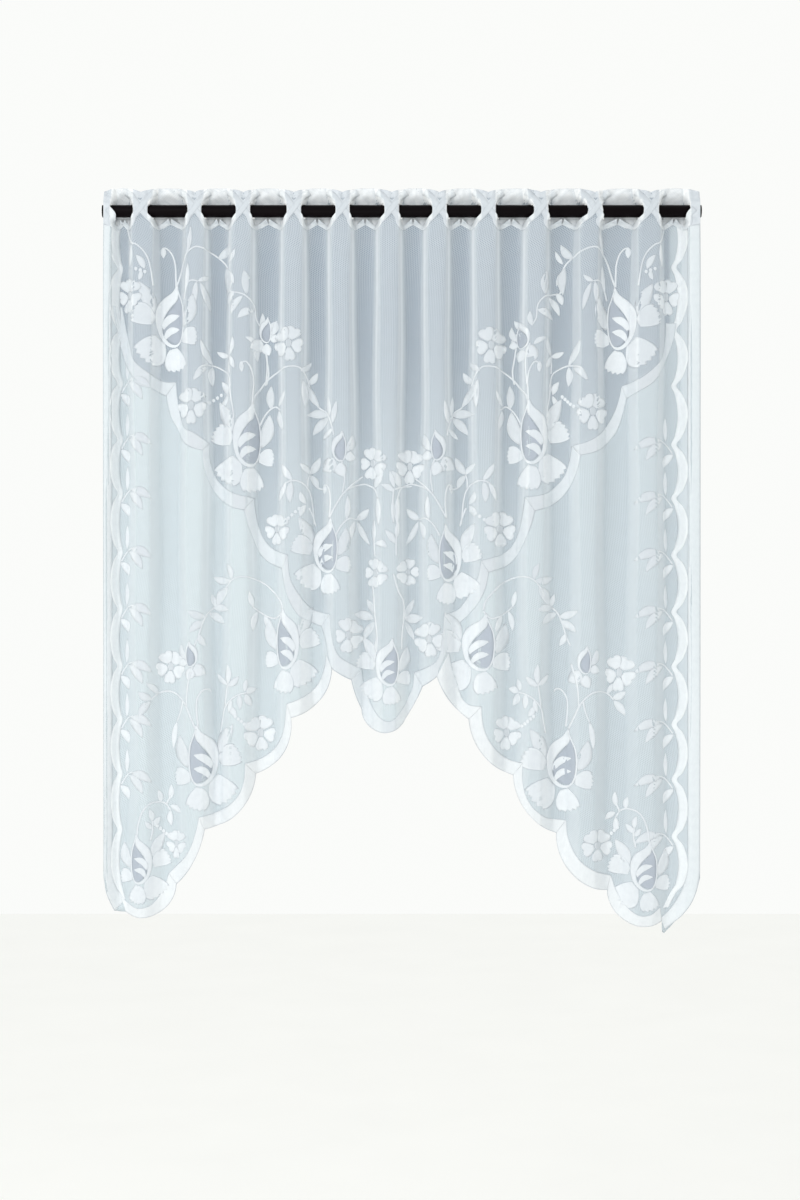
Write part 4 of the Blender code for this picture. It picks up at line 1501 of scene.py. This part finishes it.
surface = add_node(tree, "ShaderNodeBsdfPrincipled",
                   {"Base Color": shade.outputs[2], "Roughness": 0.62, "IOR": 1.53,
                    "Alpha": cover.outputs[0], "Sheen Weight": 0.15,
                    "Normal": relief.outputs["Normal"]})
tree.links.new(surface.outputs["BSDF"], output.inputs["Surface"])
net.data.materials.clear()
net.data.materials.append(net_finish)
print("net finish:", net_finish.name, "with chains", CHAIN_PITCH, "mm apart")

# %% [markdown]
# ## Finish of the figures: dense pillar knitting
# In the figures the laid-in yarn fills every hole, so they are nearly opaque and white. Each
# figure is filled along its edge, where the yarn turns back, and a thin grey line outside sets
# it off: a painted shadow of the figure's raised edge. Some are knitted half as densely inside,
# so they look greyer. The fine ribbing follows the chains of loops, which stand 1.1 mm apart
# and are drawn at 2.2 mm to show.
# The lamp lights the front of each rib most, so the colour there is a little darker than
# the one of the flanks and valleys, and the figures stay evenly white across the folds.

# %% Dense lace
RIB_PITCH = 2.2
LOOP_PITCH = 1.8
LOOP_YARN = 0.28
CLOUD_MIDDLE = 0.42
OPEN_GREY = 0.40
LOOP_GREY = 0.25
EDGE_SHADOW_GREY = 0.5
VALLEY_SHARE = 0.65


def dense_lace(name, front, back, mottle=0.30, cover_full=0.97, cover_open=0.88, depth=0.0002):
    """front is the colour on the ribs, back the one in the valleys and on the flanks."""
    material, tree, output = new_material(name)
    cloth, knit = knitting(tree, LOOP_YARN, 1.0, LOOP_PITCH, RIB_PITCH)
    steep, deep, across, solid = [
        add_node(tree, "ShaderNodeAttribute", attribute_name=tone).outputs["Fac"]
        for tone in ("steep", "depth", "across", "solid")]
    cloud = add_node(tree, "ShaderNodeTexNoise",
                     {"Vector": cloth, "Scale": 0.10, "Detail": 4.0, "Roughness": 0.6})
    on_flank = add_node(tree, "ShaderNodeMapRange", {"Value": steep, "From Min": 0.05,
                                                     "From Max": 0.5})
    in_valley = add_node(tree, "ShaderNodeMapRange", {"Value": deep, "From Min": 0.48,
                                                      "From Max": 0.85, "To Max": VALLEY_SHARE})
    lift = add_node(tree, "ShaderNodeMath", {0: on_flank.outputs["Result"],
                                             1: in_valley.outputs["Result"]}, operation="MAXIMUM")
    full = add_node(tree, "ShaderNodeMix", {0: lift.outputs["Value"], 6: colour(front),
                                            7: colour(back)}, data_type="RGBA")
    side = add_node(tree, "ShaderNodeMath", {0: across}, operation="ABSOLUTE").outputs["Value"]
    rim = add_node(tree, "ShaderNodeMapRange", {"Value": side, "From Min": 0.66, "From Max": 0.85},
                   interpolation_type="SMOOTHSTEP")
    filled = add_node(tree, "ShaderNodeMath", {0: solid, 1: rim.outputs["Result"]},
                      operation="MAXIMUM").outputs["Value"]
    open_part = add_node(tree, "ShaderNodeMath", {0: filled, 1: -OPEN_GREY, 2: OPEN_GREY},
                         operation="MULTIPLY_ADD")
    clouded = add_node(tree, "ShaderNodeMath", {0: cloud.outputs["Fac"], 1: mottle,
                                                2: -CLOUD_MIDDLE * mottle},
                       operation="MULTIPLY_ADD", use_clamp=True)
    grey = add_node(tree, "ShaderNodeMath", {0: open_part.outputs["Value"],
                                             1: clouded.outputs["Value"]}, operation="ADD")
    loops = add_node(tree, "ShaderNodeMath", {0: knit, 1: LOOP_GREY}, operation="MULTIPLY")
    # painted shadow: a thin grey line along the very edge of each figure
    line = add_node(tree, "ShaderNodeMapRange", {"Value": side, "From Min": 0.90,
                                                 "From Max": 0.98, "To Max": EDGE_SHADOW_GREY})
    body = full.outputs[2]
    for share, shadow in ((grey.outputs["Value"], "#8e9ba7"), (loops.outputs["Value"], "#9fabb6"),
                          (line.outputs["Result"], "#97a3ae")):
        body = add_node(tree, "ShaderNodeMix", {0: share, 6: body, 7: colour(shadow)},
                        data_type="RGBA").outputs[2]
    cover = add_node(tree, "ShaderNodeMix", {0: filled, 2: cover_open, 3: cover_full})
    relief = add_node(tree, "ShaderNodeBump", {"Height": knit, "Strength": 0.5,
                                               "Distance": depth}, invert=True)
    surface = add_node(tree, "ShaderNodeBsdfPrincipled",
                       {"Base Color": body, "Roughness": 0.7, "IOR": 1.53,
                        "Alpha": cover.outputs[0], "Sheen Weight": 0.2,
                        "Normal": relief.outputs["Normal"]})
    tree.links.new(surface.outputs["BSDF"], output.inputs["Surface"])
    return material


figure_finish = dense_lace("dense_pillar_knit_figures", "#d3d9df", "#f0f4f7")
rim_finish = dense_lace("corded_eyelet_rim", "#d5dbe1", "#f4f8fa", 0.2, depth=0.0004)
FINISHES = {
    "v_band": dense_lace("dense_pillar_knit_v_band", "#ccd2d8", "#e4eaee"),
    "hem_band": dense_lace("dense_pillar_knit_hem_band", "#dee2e5", "#eaeef1"),
    "side_hems": dense_lace("turned_side_hem_knit", "#d8dfe3", "#eaeef1"),
    "wavy_borders": dense_lace("dense_pillar_knit_wavy_border", "#e4e9ed", "#eff3f5"),
    "heading": dense_lace("thick_heading_knit", "#d4dae0", "#f8fafb", 0.9, depth=0.0004),
    "eyelet_rims": rim_finish,
    "eyelet_lips": rim_finish,
    "bud_hollows": dense_lace("open_grey_bud_net", "#bac2cf", "#c3cbd6", 0.2, 0.72, 0.72),
}
print("dense finishes:", len(set(FINISHES.values())) + 1)

# %% [markdown]
# The heading was cut from one grid, so its tones come from the height of its points: below the
# rod it is knitted a little more openly above its corded foot. All other figures without a
# finish of their own share one.

# %% Finish every piece of lace
UNDER_ROD_FROM = 0.006
CORD_HEIGHT = 0.004
CORD_SOFTNESS = 0.003
OPENNESS = 0.05
heading_x, _, heading_z = points_of(heading).T
over_cord = heading_z - heading_foot(heading_x) - CORD_HEIGHT
under_rod = smoothstep((-UNDER_ROD_FROM - heading_z) / UNDER_ROD_FROM)
set_tone(heading, "solid", 1.0 - OPENNESS * under_rod * smoothstep(over_cord / CORD_SOFTNESS))
set_tone(heading, "across", np.zeros(len(heading.data.vertices)))
for lace in lace_pieces:
    lace.data.materials.clear()
    lace.data.materials.append(FINISHES.get(lace.name, figure_finish))
print("lace finished:", ", ".join(lace.name for lace in lace_pieces))

# %% [markdown]
# ## Finish of the rod: stoved enamel on steel
# The tube is dipped in a dark brown, nearly black enamel and stoved. It dries semi-gloss with a
# very faint orange peel, about 1.5 mm across, and its gloss drifts a little along the tube. The
# specular level is low, because the whole room is white here and would grey the enamel.

# %% Rod material
rod_finish, tree, output = new_material("stoved_brown_black_enamel")
spot = add_node(tree, "ShaderNodeTexCoord").outputs["Object"]
peel = add_node(tree, "ShaderNodeTexNoise", {"Vector": spot, "Scale": 650.0, "Detail": 2.0})
drift = add_node(tree, "ShaderNodeTexNoise", {"Vector": spot, "Scale": 40.0, "Detail": 3.0})
body = add_node(tree, "ShaderNodeMix", {0: drift.outputs["Fac"], 6: colour("#070405"),
                                        7: colour("#0e080b")}, data_type="RGBA")
gloss = add_node(tree, "ShaderNodeMapRange", {"Value": drift.outputs["Fac"], "To Min": 0.30,
                                              "To Max": 0.46})
relief = add_node(tree, "ShaderNodeBump", {"Height": peel.outputs["Fac"], "Strength": 0.12,
                                           "Distance": 0.0001})
surface = add_node(tree, "ShaderNodeBsdfPrincipled",
                   {"Base Color": body.outputs[2], "Roughness": gloss.outputs["Result"],
                    "IOR": 1.5, "Specular IOR Level": 0.04, "Normal": relief.outputs["Normal"]})
tree.links.new(surface.outputs["BSDF"], output.inputs["Surface"])
rod.data.materials.append(rod_finish)
print("rod finish:", rod_finish.name)

# %% [markdown]
# The floor is matt and nearly white, mottled so little that it only just reads as a surface.

# %% Floor material
floor_finish, tree, output = new_material("pale_studio_floor")
spot = add_node(tree, "ShaderNodeTexCoord").outputs["Object"]
grain = add_node(tree, "ShaderNodeTexNoise", {"Vector": spot, "Scale": 3.0})
body = add_node(tree, "ShaderNodeMix", {0: grain.outputs["Fac"], 6: colour("#f7f7f5"),
                                        7: colour("#fbfbf9")}, data_type="RGBA")
surface = add_node(tree, "ShaderNodeBsdfPrincipled", {"Base Color": body.outputs[2],
                                                      "Roughness": 0.9})
tree.links.new(surface.outputs["BSDF"], output.inputs["Surface"])
floor.data.materials.append(floor_finish)
print("floor finish:", floor_finish.name)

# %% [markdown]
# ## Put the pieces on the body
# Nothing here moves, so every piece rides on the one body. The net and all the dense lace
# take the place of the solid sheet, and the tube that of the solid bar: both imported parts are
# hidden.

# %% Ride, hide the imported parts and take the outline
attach(rod, "root")
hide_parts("rod")
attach(net, "root")
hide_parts("curtain")
for lace in lace_pieces:
    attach(lace, "root")

outline_x, outline_z = np.array(cloth_outline()).T
